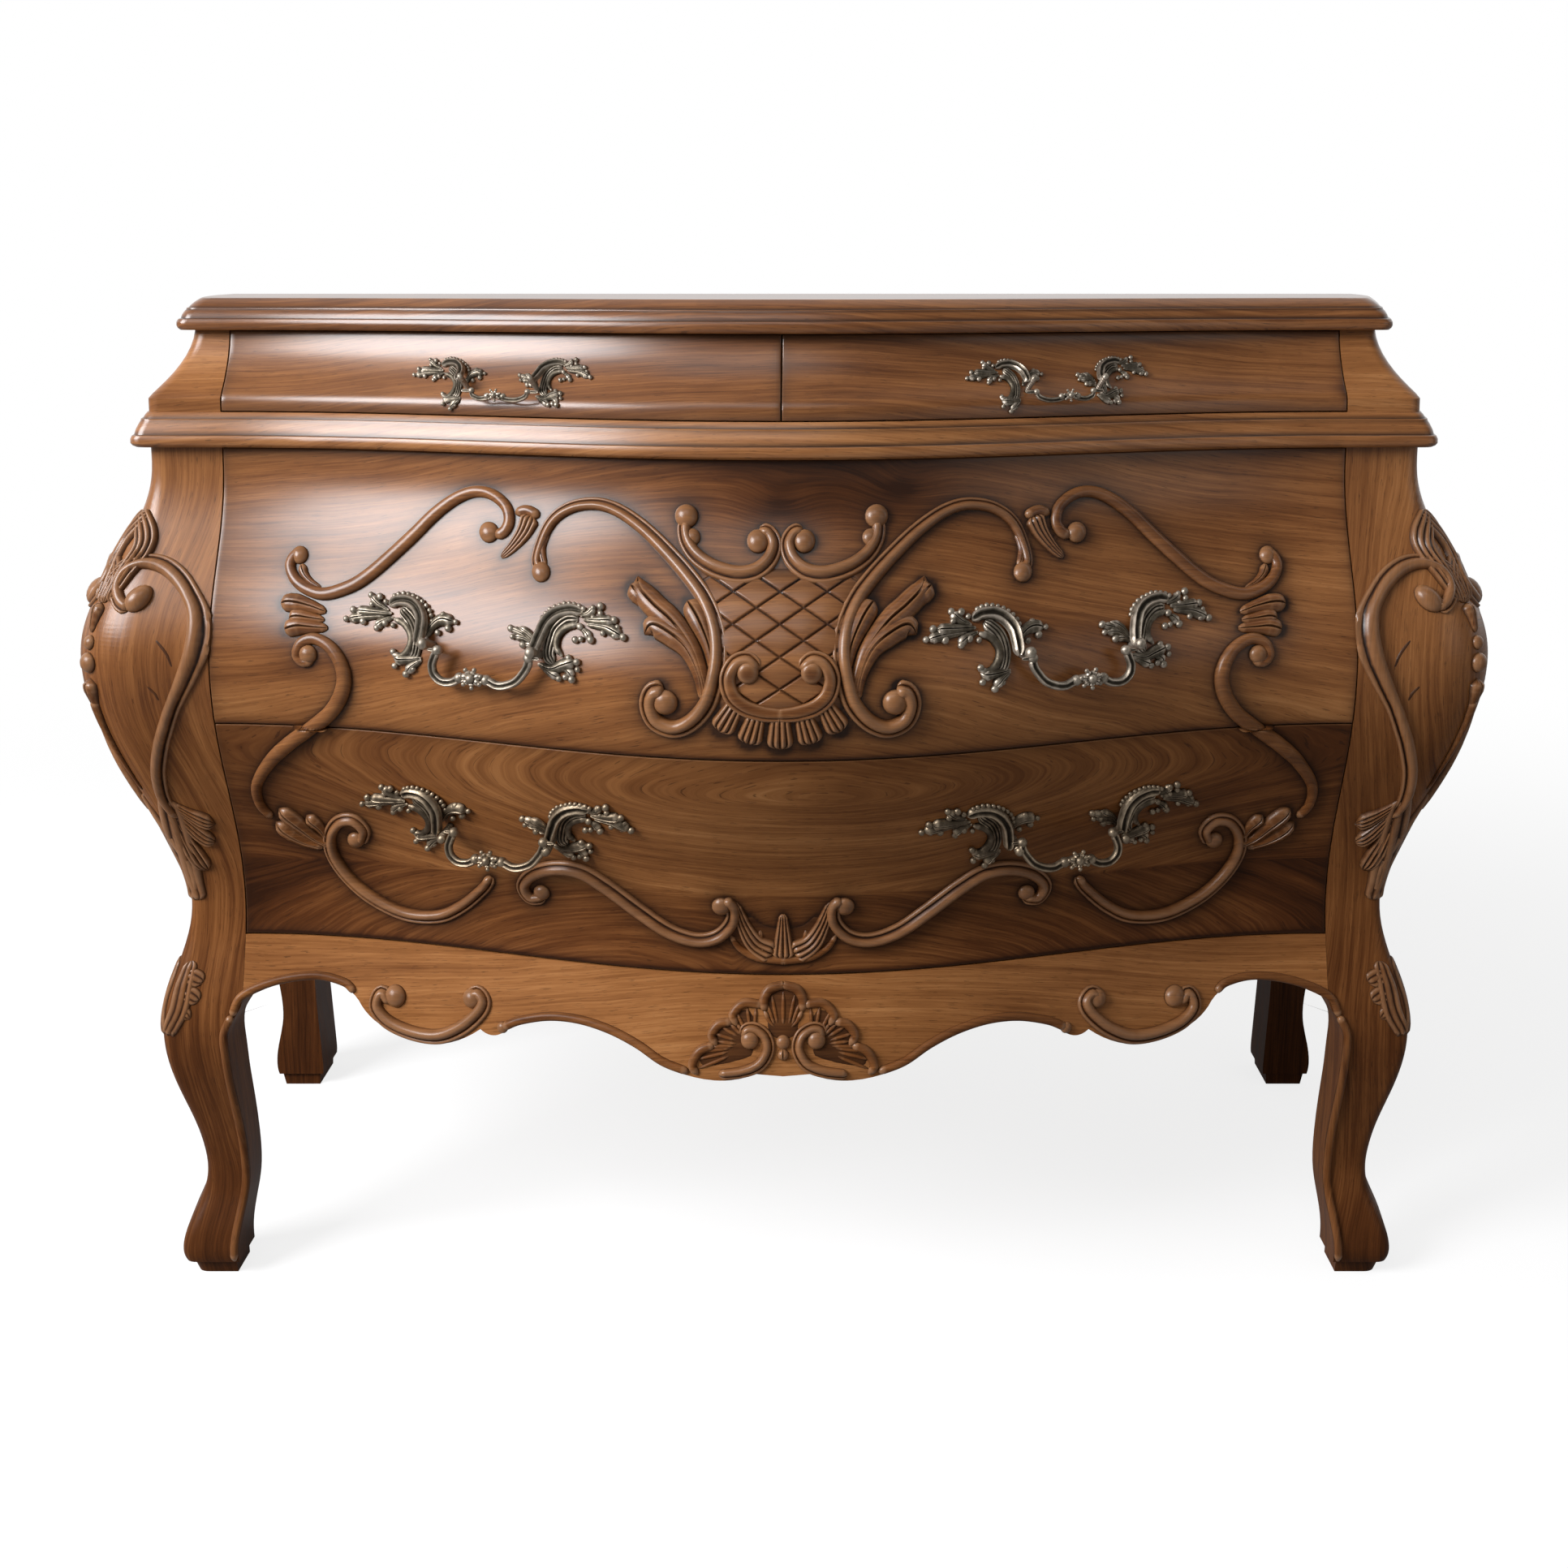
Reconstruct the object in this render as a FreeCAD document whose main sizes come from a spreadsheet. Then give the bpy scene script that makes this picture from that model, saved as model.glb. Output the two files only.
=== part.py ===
import FreeCAD
import Part
import math
import os

# Walnut commode chest: two small drawers over two long ones, swelling front and sides.
# All sizes are in millimetres. X runs to the right, Y to the back, Z up.
# The origin is on the floor, in the middle of the footprint's box.

SIZES = [
    # The whole chest, from the floor up
    ("overall_height", 840.0),
    ("top_thickness", 26.0),
    ("frieze_height", 66.0),
    ("waist_height", 28.0),
    ("division_height", 500.0),
    ("drawer_zone_base", 303.0),
    # Plan: half width of the drawer opening, and how far the corners stand back
    ("opening_half", 459.0),
    ("rear_opening_half", 500.0),
    ("corner_setback", 93.0),
    ("bow_at_waist", 103.0),
    ("bow_at_belly", 117.0),
    ("bow_at_base", 92.0),
    ("flare_at_floor", 35.0),
    ("flare_at_top", 90.0),
    ("side_bow", 8.0),
    # Front corner seen from the front: half widths of the chest and their heights
    ("foot_half", 515.0),
    ("toe_half", 521.0),
    ("toe_height", 22.0),
    ("ankle_half", 503.0),
    ("ankle_height", 86.0),
    ("knee_half", 527.0),
    ("knee_height", 222.0),
    ("neck_half", 505.5),
    ("neck_height", 328.0),
    ("belly_half", 572.0),
    ("belly_height", 549.0),
    ("shoulder_half", 518.0),
    ("shoulder_height", 704.0),
    ("slim_corner_radius", 10.0),
    ("belly_corner_radius", 55.0),
    # Legs
    ("foot_width", 43.0),
    ("foot_block_height", 13.0),
    ("foot_block_inset", 4.0),
    ("toe_width", 49.0),
    ("ankle_width", 38.0),
    ("knee_width", 56.0),
    ("foot_depth", 40.0),
    ("toe_depth", 43.0),
    ("ankle_depth", 33.0),
    ("knee_depth", 45.0),
    ("rear_leg_depth", 55.0),
    # Mouldings and frieze, as half widths at the front corner
    ("top_edge_half", 483.0),
    ("top_tip_half", 499.0),
    ("frieze_top_half", 487.5),
    ("frieze_fillet_half", 518.0),
    ("frieze_fillet_height", 11.0),
    ("waist_tip_half", 530.0),
    ("moulding_corner_radius", 9.0),
    # Boards
    ("front_thickness", 24.0),
    ("apron_thickness", 26.0),
    ("side_thickness", 20.0),
    ("back_thickness", 8.0),
    ("bottom_board_thickness", 12.0),
    ("dust_board_thickness", 14.0),
    ("waist_board_thickness", 20.0),
    ("divider_thickness", 12.0),
    ("apron_drop", 80.5),
    ("side_apron_drop", 70.0),
    ("housing_clearance", 0.3),
    # Drawers
    ("drawer_gap", 2.0),
    ("run_clearance", 0.3),
    ("box_side_inset", 7.0),
    ("box_side_thickness", 12.0),
    ("box_back_thickness", 12.0),
    ("box_bottom_thickness", 6.0),
    ("box_bottom_raise", 9.0),
    ("box_rear_space", 18.0),
    ("box_top_space", 6.0),
    ("guide_height", 20.0),
    ("guide_width", 24.0),
    ("carving_relief", 6.0),
    ("cartouche_width", 98.0),
    ("cartouche_height", 100.0),
    ("cartouche_rise", 69.0),
    # Pulls of the long drawers
    ("pull_spacing_half", 226.0),
    ("pull_pin_span", 88.0),
    ("pull_mount_length", 84.0),
    ("pull_mount_height", 60.0),
    ("pull_drop", 30.0),
    ("pull_bar_radius", 3.3),
    ("pull_knot_radius", 7.0),
    ("pull_standoff", 16.0),
    ("middle_pull_rise", 73.0),
    ("lower_pull_rise", 111.0),
    # Pulls of the small drawers
    ("small_pull_spacing_half", 220.0),
    ("small_pin_span", 58.0),
    ("small_mount_length", 52.0),
    ("small_mount_height", 36.0),
    ("small_drop", 9.0),
    ("small_bar_radius", 2.3),
    ("small_knot_radius", 4.6),
    ("small_standoff", 17.0),
    ("small_pull_rise", 19.0),
    # Parts that all pulls share
    ("mount_thickness", 4.0),
    ("ear_radius", 4.4),
    ("ear_length", 6.0),
    ("pin_radius", 1.6),
    ("pin_clearance", 0.05),
    ("pin_end_clearance", 0.5),
    ("bolt_radius", 2.0),
    ("nut_radius", 4.2),
    ("nut_thickness", 3.2),
    # Overrun that every cut uses
    ("overrun", 5.0),
]

doc = FreeCAD.newDocument("commode_chest")
sheet = doc.addObject("Spreadsheet::Sheet", "Sizes")
for row, (alias, value) in enumerate(SIZES, start=1):
    sheet.set("A%d" % row, alias)
    sheet.set("B%d" % row, str(value))
    sheet.setAlias("B%d" % row, alias)
doc.recompute()


def size(alias):
    """The plain number that the sheet holds under this name."""
    return float(getattr(sheet, alias))


# Heights that follow from the sheet
frieze_top = size("overall_height") - size("top_thickness")
waist_top = frieze_top - size("frieze_height")
waist_base = waist_top - size("waist_height")
base = size("drawer_zone_base")
division = size("division_height")
opening = size("opening_half")
rear_opening = size("rear_opening_half")
setback = size("corner_setback")
post_depth = opening - setback
gap = size("drawer_gap")
overrun = size("overrun")

# The belly's middle is the foremost point, so half of its reach centres the box on Y
foremost = size("belly_half") - setback + size("bow_at_belly") + size("carving_relief")
back_y = foremost / 2


def point(x, depth, z):
    """A point at a distance in front of the back plane."""
    return FreeCAD.Vector(x, back_y - depth, z)


def ease(start, end, share):
    """Cosine passage from one value to another."""
    return start + (end - start) * (1 - math.cos(math.pi * share)) / 2


def eased_at(stations, z):
    """Value at a height, on an eased line through (height, value) stations."""
    if z <= stations[0][0]:
        return stations[0][1]
    for (low, low_value), (high, high_value) in zip(stations, stations[1:]):
        if z <= high:
            return ease(low_value, high_value, (z - low) / (high - low))
    return stations[-1][1]


CORNER_STATIONS = [
    (0.0, size("foot_half")),
    (size("toe_height"), size("toe_half")),
    (size("ankle_height"), size("ankle_half")),
    (size("knee_height"), size("knee_half")),
    (size("neck_height"), size("neck_half")),
    (size("belly_height"), size("belly_half")),
    (size("shoulder_height"), size("shoulder_half")),
]
BOW_STATIONS = [
    (base, size("bow_at_base")),
    (size("belly_height"), size("bow_at_belly")),
    (waist_base, size("bow_at_waist")),
]
ARCH_SHARE = 0.64
arch_height = base - size("apron_drop") * ARCH_SHARE
LEG_WIDTH_STATIONS = [
    (0.0, size("foot_width")),
    (size("toe_height"), size("toe_width")),
    (size("ankle_height"), size("ankle_width")),
    (size("knee_height"), size("knee_width")),
]
LEG_DEPTH_STATIONS = [
    (0.0, size("foot_depth")),
    (size("toe_height"), size("toe_depth")),
    (size("ankle_height"), size("ankle_depth")),
    (size("knee_height"), size("knee_depth")),
]


def corner_half(z):
    """Half width of the chest at its front corner."""
    return eased_at(CORNER_STATIONS, z)


def bow(z):
    """How far the middle of the front stands before its corners."""
    return eased_at(BOW_STATIONS, z)


def corner_radius(z):
    """The corner is crisp at the waist and the leg, and round at the belly."""
    swell = size("belly_half") - size("shoulder_half")
    share = max(corner_half(z) - size("shoulder_half"), 0) / swell
    if z < size("neck_height"):
        share = 0
    return size("slim_corner_radius") + (size("belly_corner_radius") - size("slim_corner_radius")) * share


REAR_SWELL_SHARE = 0.6


def rear_half(z, half):
    """Half width at the back, where the sides have flared and swell less."""
    flare_share = z / size("overall_height")
    flare = size("flare_at_floor") + (size("flare_at_top") - size("flare_at_floor")) * flare_share
    return size("ankle_half") + REAR_SWELL_SHARE * (half - size("ankle_half")) + flare


def front_depth(x, z, half=None, inset=0.0):
    """Depth of the front face before the back plane, for a corner of this half width."""
    half = corner_half(z) if half is None else half
    across = min(abs(x) / opening, 1.0)
    return half - setback + bow(z) * (1 + math.cos(math.pi * across)) / 2 - inset


def side_x(depth, z, half=None, inset=0.0):
    """Where the side face stands at a depth: a flared line with a slight bow."""
    half = corner_half(z) if half is None else half
    run = (half - setback - depth) / (half - setback)
    straight = half + (rear_half(z, half) - half) * run
    return straight + 4 * size("side_bow") * run * (1 - run) - inset


def line(start, end):
    return Part.LineSegment(start, end).toShape()


def front_edge(z, x_start, x_end, half=None, inset=0.0):
    """The bowed front in plan, as one smooth edge between two stations."""
    count = 13
    points = []
    for index in range(count):
        x = x_start + (x_end - x_start) * index / (count - 1)
        points.append(point(x, front_depth(x, z, half, inset), z))
    curve = Part.BSplineCurve()
    curve.interpolate(Points=points)
    return curve.toShape()


def side_edge(z, depth_start, depth_end, half=None, inset=0.0):
    """The side in plan between two depths. It is a parabola, so three poles hold it."""
    middle = (depth_start + depth_end) / 2
    first = point(side_x(depth_start, z, half, inset), depth_start, z)
    last = point(side_x(depth_end, z, half, inset), depth_end, z)
    half_way = point(side_x(middle, z, half, inset), middle, z)
    control = half_way * 2 - (first + last) * 0.5
    curve = Part.BezierCurve()
    curve.setPoles([first, control, last])
    return curve.toShape()


def corner_edge(z, half, radius):
    """The rounded arris between the front and the side."""
    face_depth = half - setback
    first = point(half - radius, face_depth, z)
    last = point(side_x(face_depth - radius, z, half), face_depth - radius, z)
    curve = Part.BezierCurve()
    curve.setPoles([first, point(half, face_depth, z), last])
    return curve.toShape()


def loft(wires, ruled=False):
    return Part.makeLoft(wires, True, ruled)


def mirrored(shape):
    return shape.mirror(FreeCAD.Vector(), FreeCAD.Vector(1, 0, 0))


def steps(low, high, count):
    """Heights spread evenly from low to high."""
    return [low + (high - low) * index / (count - 1) for index in range(count)]


nodes = []


def keep(name, shape):
    """Add a shape to the document as a sub-part with its own name."""
    feature = doc.addObject("Part::Feature", name)
    feature.Label = name
    feature.Shape = shape
    nodes.append(feature)
    return feature


def keep_pair(name, shape):
    """Keep a right-hand piece and its mirrored left-hand twin."""
    keep(name + "_right", shape)
    keep(name + "_left", mirrored(shape))


def keep_board(name, length, width, height, x, y, z):
    """A plain board, bound to the sheet by expressions."""
    board = doc.addObject("Part::Box", name)
    board.Label = name
    board.setExpression("Length", length)
    board.setExpression("Width", width)
    board.setExpression("Height", height)
    board.setExpression("Placement.Base.x", x)
    board.setExpression("Placement.Base.y", y)
    board.setExpression("Placement.Base.z", z)
    nodes.append(board)
    return board


BACK_Y = "(Sizes.belly_half - Sizes.corner_setback + Sizes.bow_at_belly + Sizes.carving_relief) / 2"
FRIEZE_TOP = "Sizes.overall_height - Sizes.top_thickness"
WAIST_TOP = "Sizes.overall_height - Sizes.top_thickness - Sizes.frieze_height"


# Front legs: corner post and cabriole leg in one piece

def leg_inner(z):
    """Inner edge of the front leg; above the arch it is the drawer opening."""
    if z >= arch_height:
        return opening
    width = eased_at(LEG_WIDTH_STATIONS, z)
    inner = corner_half(z) - width
    if z <= size("knee_height"):
        return inner
    share = (z - size("knee_height")) / (arch_height - size("knee_height"))
    knee_inner = size("knee_half") - size("knee_width")
    return ease(knee_inner, opening, share)


def leg_rear(z):
    """Depth of the front leg's rear plane; above the arch it is the post's."""
    if z >= arch_height:
        return post_depth
    rear = corner_half(z) - setback - eased_at(LEG_DEPTH_STATIONS, z)
    if z <= size("knee_height"):
        return rear
    share = (z - size("knee_height")) / (arch_height - size("knee_height"))
    knee_rear = size("knee_half") - setback - size("knee_depth")
    return ease(knee_rear, post_depth, share)


def post_wire(z, inset=0.0):
    """Section of the front post or leg: square inside, shaped outside."""
    half = corner_half(z) - inset
    inner = leg_inner(z) + inset
    radius = corner_radius(z)
    face_depth = half - setback
    inner_depth = leg_rear(z) + inset
    edges = [
        line(point(inner, face_depth, z), point(half - radius, face_depth, z)),
        corner_edge(z, half, radius),
        side_edge(z, face_depth - radius, inner_depth, half),
        line(point(side_x(inner_depth, z, half), inner_depth, z), point(inner, inner_depth, z)),
        line(point(inner, inner_depth, z), point(inner, face_depth, z)),
    ]
    return Part.Wire(edges)


def leg_levels():
    """Heights of the sections, from the foot block up to the waist."""
    levels = steps(size("foot_block_height"), size("ankle_height"), 7)
    levels += steps(size("ankle_height"), size("knee_height"), 7)[1:]
    levels += steps(size("knee_height"), arch_height, 7)[1:]
    levels += steps(arch_height, base, 9)[1:]
    return levels + steps(base, waist_base, 17)[1:]


def make_leg(wire_at):
    """Foot block below, then one smooth form from the toe to the waist."""
    inset = size("foot_block_inset")
    block = loft([wire_at(0.0, inset), wire_at(size("foot_block_height"), inset)], True)
    leg = loft([wire_at(z) for z in leg_levels()])
    return leg.fuse(block)


def make_front_legs():
    keep_pair("front_leg", make_leg(post_wire))


# Rear legs

def rear_leg_inner(z):
    if z >= arch_height:
        return rear_opening
    outer = rear_half(z, corner_half(z))
    inner = outer - eased_at(LEG_WIDTH_STATIONS, z)
    if z <= size("knee_height"):
        return inner
    knee_inner = rear_half(z, size("knee_half")) - size("knee_width")
    share = (z - size("knee_height")) / (arch_height - size("knee_height"))
    return ease(knee_inner, rear_opening, share)


def rear_post_wire(z, inset=0.0):
    half = corner_half(z) - inset
    inner = rear_leg_inner(z) + inset
    depth = size("rear_leg_depth") - inset
    edges = [
        line(point(inner, depth, z), point(side_x(depth, z, half), depth, z)),
        side_edge(z, depth, 0.0, half),
        line(point(side_x(0.0, z, half), 0.0, z), point(inner, 0.0, z)),
        line(point(inner, 0.0, z), point(inner, depth, z)),
    ]
    return Part.Wire(edges)


def make_rear_legs():
    keep_pair("rear_leg", make_leg(rear_post_wire))


# Side panels and the scalloped aprons below them

def side_wire(z, thickness):
    front = post_depth - size("housing_clearance")
    rear = size("rear_leg_depth") + size("housing_clearance")
    edges = [
        side_edge(z, front, rear),
        line(point(side_x(rear, z), rear, z), point(side_x(rear, z) - thickness, rear, z)),
        side_edge(z, rear, front, None, thickness),
        line(point(side_x(front, z) - thickness, front, z), point(side_x(front, z), front, z)),
    ]
    return Part.Wire(edges)


def make_side_panels():
    thickness = size("side_thickness")
    keep_pair("side_panel", loft([side_wire(z, thickness) for z in steps(base, waist_base, 13)]))


SIDE_APRON_SHARES = [
    (0.0, 0.72), (0.12, 0.46), (0.26, 0.5), (0.38, 0.82), (0.5, 0.92),
    (0.62, 0.82), (0.74, 0.5), (0.88, 0.46), (1.0, 0.72),
]


def make_side_aprons():
    drop = size("side_apron_drop")
    apron = loft([side_wire(z, size("side_thickness")) for z in steps(base - drop, base, 5)])
    span = post_depth - size("rear_leg_depth")
    x_inner = rear_opening - setback
    points = []
    for along, down in SIDE_APRON_SHARES:
        points.append(point(x_inner, size("rear_leg_depth") + span * along, base - drop * down))
    curve = Part.BSplineCurve()
    curve.interpolate(Points=points)
    low = base - drop - overrun
    first = points[0]
    last = points[-1]
    below_first = FreeCAD.Vector(first.x, first.y + overrun, low)
    below_last = FreeCAD.Vector(last.x, last.y - overrun, low)
    out_first = FreeCAD.Vector(first.x, first.y + overrun, first.z)
    out_last = FreeCAD.Vector(last.x, last.y - overrun, last.z)
    outline = Part.Wire([
        curve.toShape(),
        line(last, out_last),
        line(out_last, below_last),
        line(below_last, below_first),
        line(below_first, out_first),
        line(out_first, first),
    ])
    reach = 2 * setback + overrun
    cutter = Part.Face(outline).extrude(FreeCAD.Vector(reach, 0, 0))
    keep_pair("side_apron", apron.cut(cutter))


# Front apron with its scalloped lower edge. The shares run over the opening's
# half width, from the leg to the middle, and over the apron's drop.

APRON_EDGE_SHARES = [
    [(1.0, 0.65), (0.94, 0.5), (0.865, 0.43), (0.81, 0.475), (0.78, 0.6)],
    [(0.78, 0.6), (0.742, 0.81), (0.693, 0.92), (0.638, 0.965), (0.584, 0.88), (0.545, 0.745)],
    [(0.545, 0.745), (0.525, 0.79), (0.505, 0.76)],
    [(0.505, 0.76), (0.47, 0.65), (0.415, 0.575), (0.36, 0.57), (0.305, 0.63), (0.255, 0.74), (0.207, 0.9)],
    [(0.207, 0.9), (0.163, 0.97), (0.12, 1.0), (0.076, 0.975), (0.048, 0.92)],
    [(0.048, 0.92), (0.0, 0.94)],
]


def front_board_wire(z, x_start, x_end, thickness, half=None):
    """A bowed board of even depth, cut at two stations of X."""
    start_front = point(x_start, front_depth(x_start, z, half), z)
    start_back = point(x_start, front_depth(x_start, z, half, thickness), z)
    end_front = point(x_end, front_depth(x_end, z, half), z)
    end_back = point(x_end, front_depth(x_end, z, half, thickness), z)
    return Part.Wire([
        front_edge(z, x_start, x_end, half),
        line(end_front, end_back),
        front_edge(z, x_end, x_start, half, thickness),
        line(start_back, start_front),
    ])


def apron_cutter():
    """Everything below the scalloped edge of the right half."""
    drop = size("apron_drop")
    edges = []
    last = None
    for shares in APRON_EDGE_SHARES:
        points = [point(opening * across, 0.0, base - drop * down) for across, down in shares]
        if len(points) == 2:
            edges.append(line(points[0], points[1]))
        else:
            curve = Part.BSplineCurve()
            curve.interpolate(Points=points)
            edges.append(curve.toShape())
        last = points[-1]
    first = edges[0].Vertexes[0].Point
    low = base - drop - overrun
    outer_top = FreeCAD.Vector(first.x + overrun, first.y, first.z)
    outer_low = FreeCAD.Vector(first.x + overrun, first.y, low)
    middle_low = FreeCAD.Vector(last.x, last.y, low)
    edges.append(line(last, middle_low))
    edges.append(line(middle_low, outer_low))
    edges.append(line(outer_low, outer_top))
    edges.append(line(outer_top, first))
    outline = Part.Wire(Part.sortEdges(edges)[0])
    return Part.Face(outline).extrude(FreeCAD.Vector(0, -foremost - overrun, 0))


def make_front_apron():
    low = base - size("apron_drop")
    heights = steps(low, base, 6)
    edge = opening - size("housing_clearance")
    apron = loft([front_board_wire(z, -edge, edge, size("apron_thickness")) for z in heights])
    cutter = apron_cutter()
    keep("front_apron", apron.cut(cutter).cut(mirrored(cutter)))


# Boards inside the case

def inside_wire(z, thickness, rear_clear):
    """Plan of the inside: narrow between the posts, wide between the sides."""
    fit = size("housing_clearance")
    narrow = opening - fit
    wide_front = post_depth - fit
    wide_rear = size("rear_leg_depth") + fit
    wall = size("side_thickness") + fit
    rear_narrow = rear_opening - fit
    right = [
        point(narrow, front_depth(narrow, z, None, thickness), z),
        point(narrow, wide_front, z),
        point(side_x(wide_front, z, None, wall), wide_front, z),
        point(side_x(wide_rear, z, None, wall), wide_rear, z),
        point(rear_narrow, wide_rear, z),
        point(rear_narrow, rear_clear, z),
    ]
    left = [FreeCAD.Vector(-corner.x, corner.y, corner.z) for corner in reversed(right)]
    loop = right + left
    edges = [front_edge(z, -narrow, narrow, None, thickness)]
    for index, (start, end) in enumerate(zip(loop, loop[1:])):
        if index == 2:
            edges.append(side_edge(z, wide_front, wide_rear, None, wall))
        elif index == 8:
            flipped = side_edge(z, wide_rear, wide_front, None, wall)
            edges.append(mirrored(flipped))
        else:
            edges.append(line(start, end))
    return Part.Wire(edges)


def case_board(z_low, z_high, front_inset):
    rear_clear = size("back_thickness") + size("housing_clearance")
    return loft([inside_wire(z, front_inset, rear_clear) for z in (z_low, z_high)], True)


def make_case_boards():
    fit = size("housing_clearance")
    bottom_low = base - size("bottom_board_thickness")
    keep("bottom_board", case_board(bottom_low, base, size("apron_thickness") + fit))
    dust_low = division - size("dust_board_thickness") / 2
    behind_fronts = size("front_thickness") + gap
    dust = case_board(dust_low, dust_low + size("dust_board_thickness"), behind_fronts)
    keep("dust_board", dust)


def make_drawer_guides():
    """Four strips behind the posts that keep the long drawers straight."""
    height = size("guide_height")
    width = size("guide_width")
    inner = opening - size("box_side_inset") + size("run_clearance")
    length = post_depth - size("rear_leg_depth") - 2 * size("housing_clearance")
    front = post_depth - size("housing_clearance")
    strips = []
    for z in (base, division + size("dust_board_thickness") / 2):
        strip = Part.makeBox(width, length, height, point(inner, front, z))
        strips.append(strip)
        strips.append(mirrored(strip))
    keep("drawer_guides", Part.makeCompound(strips))


# Moulded frames: waist moulding and top board. The shares give the height over
# the frame's thickness and the reach from its inner to its outer half width.

TOP_PROFILE_SHARES = [
    (0.0, 0.85), (0.06, 0.95), (0.14, 1.0), (0.25, 1.0), (0.34, 0.93), (0.37, 0.82),
    (0.48, 0.77), (0.58, 0.68), (0.65, 0.59), (0.69, 0.58), (0.7, 0.51), (0.79, 0.4),
    (0.88, 0.26), (0.96, 0.1), (1.0, 0.0),
]
WAIST_PROFILE_SHARES = [
    (0.0, 0.72), (0.05, 0.9), (0.12, 1.0), (0.24, 1.0), (0.33, 0.92), (0.36, 0.8),
    (0.5, 0.72), (0.66, 0.56), (0.76, 0.44), (0.81, 0.42), (0.82, 0.33), (0.93, 0.2),
    (1.0, 0.08),
]


def moulding_levels(shares, low, thickness, inner, outer):
    return [(low + thickness * up, inner + (outer - inner) * reach) for up, reach in shares]


def front_outline(z, half):
    """Edges from the left side round the front to the right side, at post depth."""
    radius = size("moulding_corner_radius")
    face_depth = half - setback
    right_corner = corner_edge(z, half, radius)
    right_side = side_edge(z, face_depth - radius, post_depth, half)
    left_flat = line(point(-(half - radius), face_depth, z), point(-opening, face_depth, z))
    right_flat = line(point(opening, face_depth, z), point(half - radius, face_depth, z))
    middle = front_edge(z, -opening, opening, half)
    return [left_flat, middle, right_flat, right_corner, right_side,
            mirrored(right_corner), mirrored(right_side)]


def top_wire(z, half):
    edges = front_outline(z, half)
    rear_right = side_edge(z, post_depth, 0.0, half)
    edges += [rear_right, mirrored(rear_right)]
    end = side_x(0.0, z, half)
    edges.append(line(point(end, 0.0, z), point(-end, 0.0, z)))
    return Part.Wire(Part.sortEdges(edges)[0])


def waist_front_wire(z, half):
    edges = front_outline(z, half)
    end = side_x(post_depth, z, half)
    edges.append(line(point(end, post_depth, z), point(-end, post_depth, z)))
    return Part.Wire(Part.sortEdges(edges)[0])


def waist_side_wire(z, half):
    """Side moulding with a rebate at its rear for the back panel."""
    inner = opening
    rebate = size("back_thickness") + size("housing_clearance")
    outer_front = side_x(post_depth, z, half)
    outer_rear = side_x(0.0, z, half)
    return Part.Wire([
        side_edge(z, post_depth, 0.0, half),
        line(point(outer_rear, 0.0, z), point(rear_opening, 0.0, z)),
        line(point(rear_opening, 0.0, z), point(rear_opening, rebate, z)),
        line(point(rear_opening, rebate, z), point(inner, rebate, z)),
        line(point(inner, rebate, z), point(inner, post_depth, z)),
        line(point(inner, post_depth, z), point(outer_front, post_depth, z)),
    ])


def make_top_board():
    levels = moulding_levels(TOP_PROFILE_SHARES, frieze_top, size("top_thickness"),
                             size("top_edge_half"), size("top_tip_half"))
    keep("top_board", loft([top_wire(z, half) for z, half in levels], True))


def make_waist_moulding():
    levels = moulding_levels(WAIST_PROFILE_SHARES, waist_base, size("waist_height"),
                             size("frieze_fillet_half"), size("waist_tip_half"))
    keep("waist_moulding_front", loft([waist_front_wire(z, half) for z, half in levels], True))
    keep_pair("waist_moulding", loft([waist_side_wire(z, half) for z, half in levels], True))
    fit = size("housing_clearance")
    inner = opening - fit
    depth = post_depth - fit - size("back_thickness") - fit
    low = waist_top - size("waist_board_thickness")
    board = Part.makeBox(2 * inner, depth, size("waist_board_thickness"),
                         point(-inner, post_depth - fit, low))
    keep("waist_board", board)


# Frieze: hollow-fronted small drawers, corner blocks and side boards. The shares
# give the height over the hollow and the reach from its top to its foot.

FRIEZE_HOLLOW_SHARES = [
    (1.0, 0.0), (0.87, 0.04), (0.74, 0.11), (0.61, 0.21), (0.49, 0.33),
    (0.37, 0.47), (0.26, 0.62), (0.16, 0.77), (0.07, 0.91), (0.0, 1.0),
]


def frieze_levels():
    """Hollow of the frieze from top to foot, as (height, half width)."""
    foot = waist_top + size("frieze_fillet_height")
    height = frieze_top - foot
    top_half = size("frieze_top_half")
    reach = size("frieze_fillet_half") - top_half
    return [(foot + height * up, top_half + reach * out) for up, out in FRIEZE_HOLLOW_SHARES]


def frieze_half(z):
    """Half width of the frieze at a height, straight between its levels."""
    levels = frieze_levels()
    if z >= levels[0][0]:
        return levels[0][1]
    for (high, high_half), (low, low_half) in zip(levels, levels[1:]):
        if z >= low:
            return low_half + (high_half - low_half) * (z - low) / (high - low)
    return size("frieze_fillet_half")


def frieze_solid(wire_at, low, high):
    """Straight fillet strip below, smooth hollow above, as one solid."""
    foot, fillet_half = frieze_levels()[-1]
    strip = loft([wire_at(low, fillet_half), wire_at(foot, fillet_half)], True)
    hollow_levels = [(z, half) for z, half in reversed(frieze_levels()) if z < high - gap]
    hollow_levels.append((high, frieze_half(high)))
    hollow = loft([wire_at(z, half) for z, half in hollow_levels], True)
    return strip.fuse(hollow)


def frieze_corner_wire(z, half):
    radius = size("moulding_corner_radius")
    face_depth = half - setback
    return Part.Wire([
        line(point(opening, face_depth, z), point(half - radius, face_depth, z)),
        corner_edge(z, half, radius),
        side_edge(z, face_depth - radius, post_depth, half),
        line(point(side_x(post_depth, z, half), post_depth, z), point(opening, post_depth, z)),
        line(point(opening, post_depth, z), point(opening, face_depth, z)),
    ])


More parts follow.
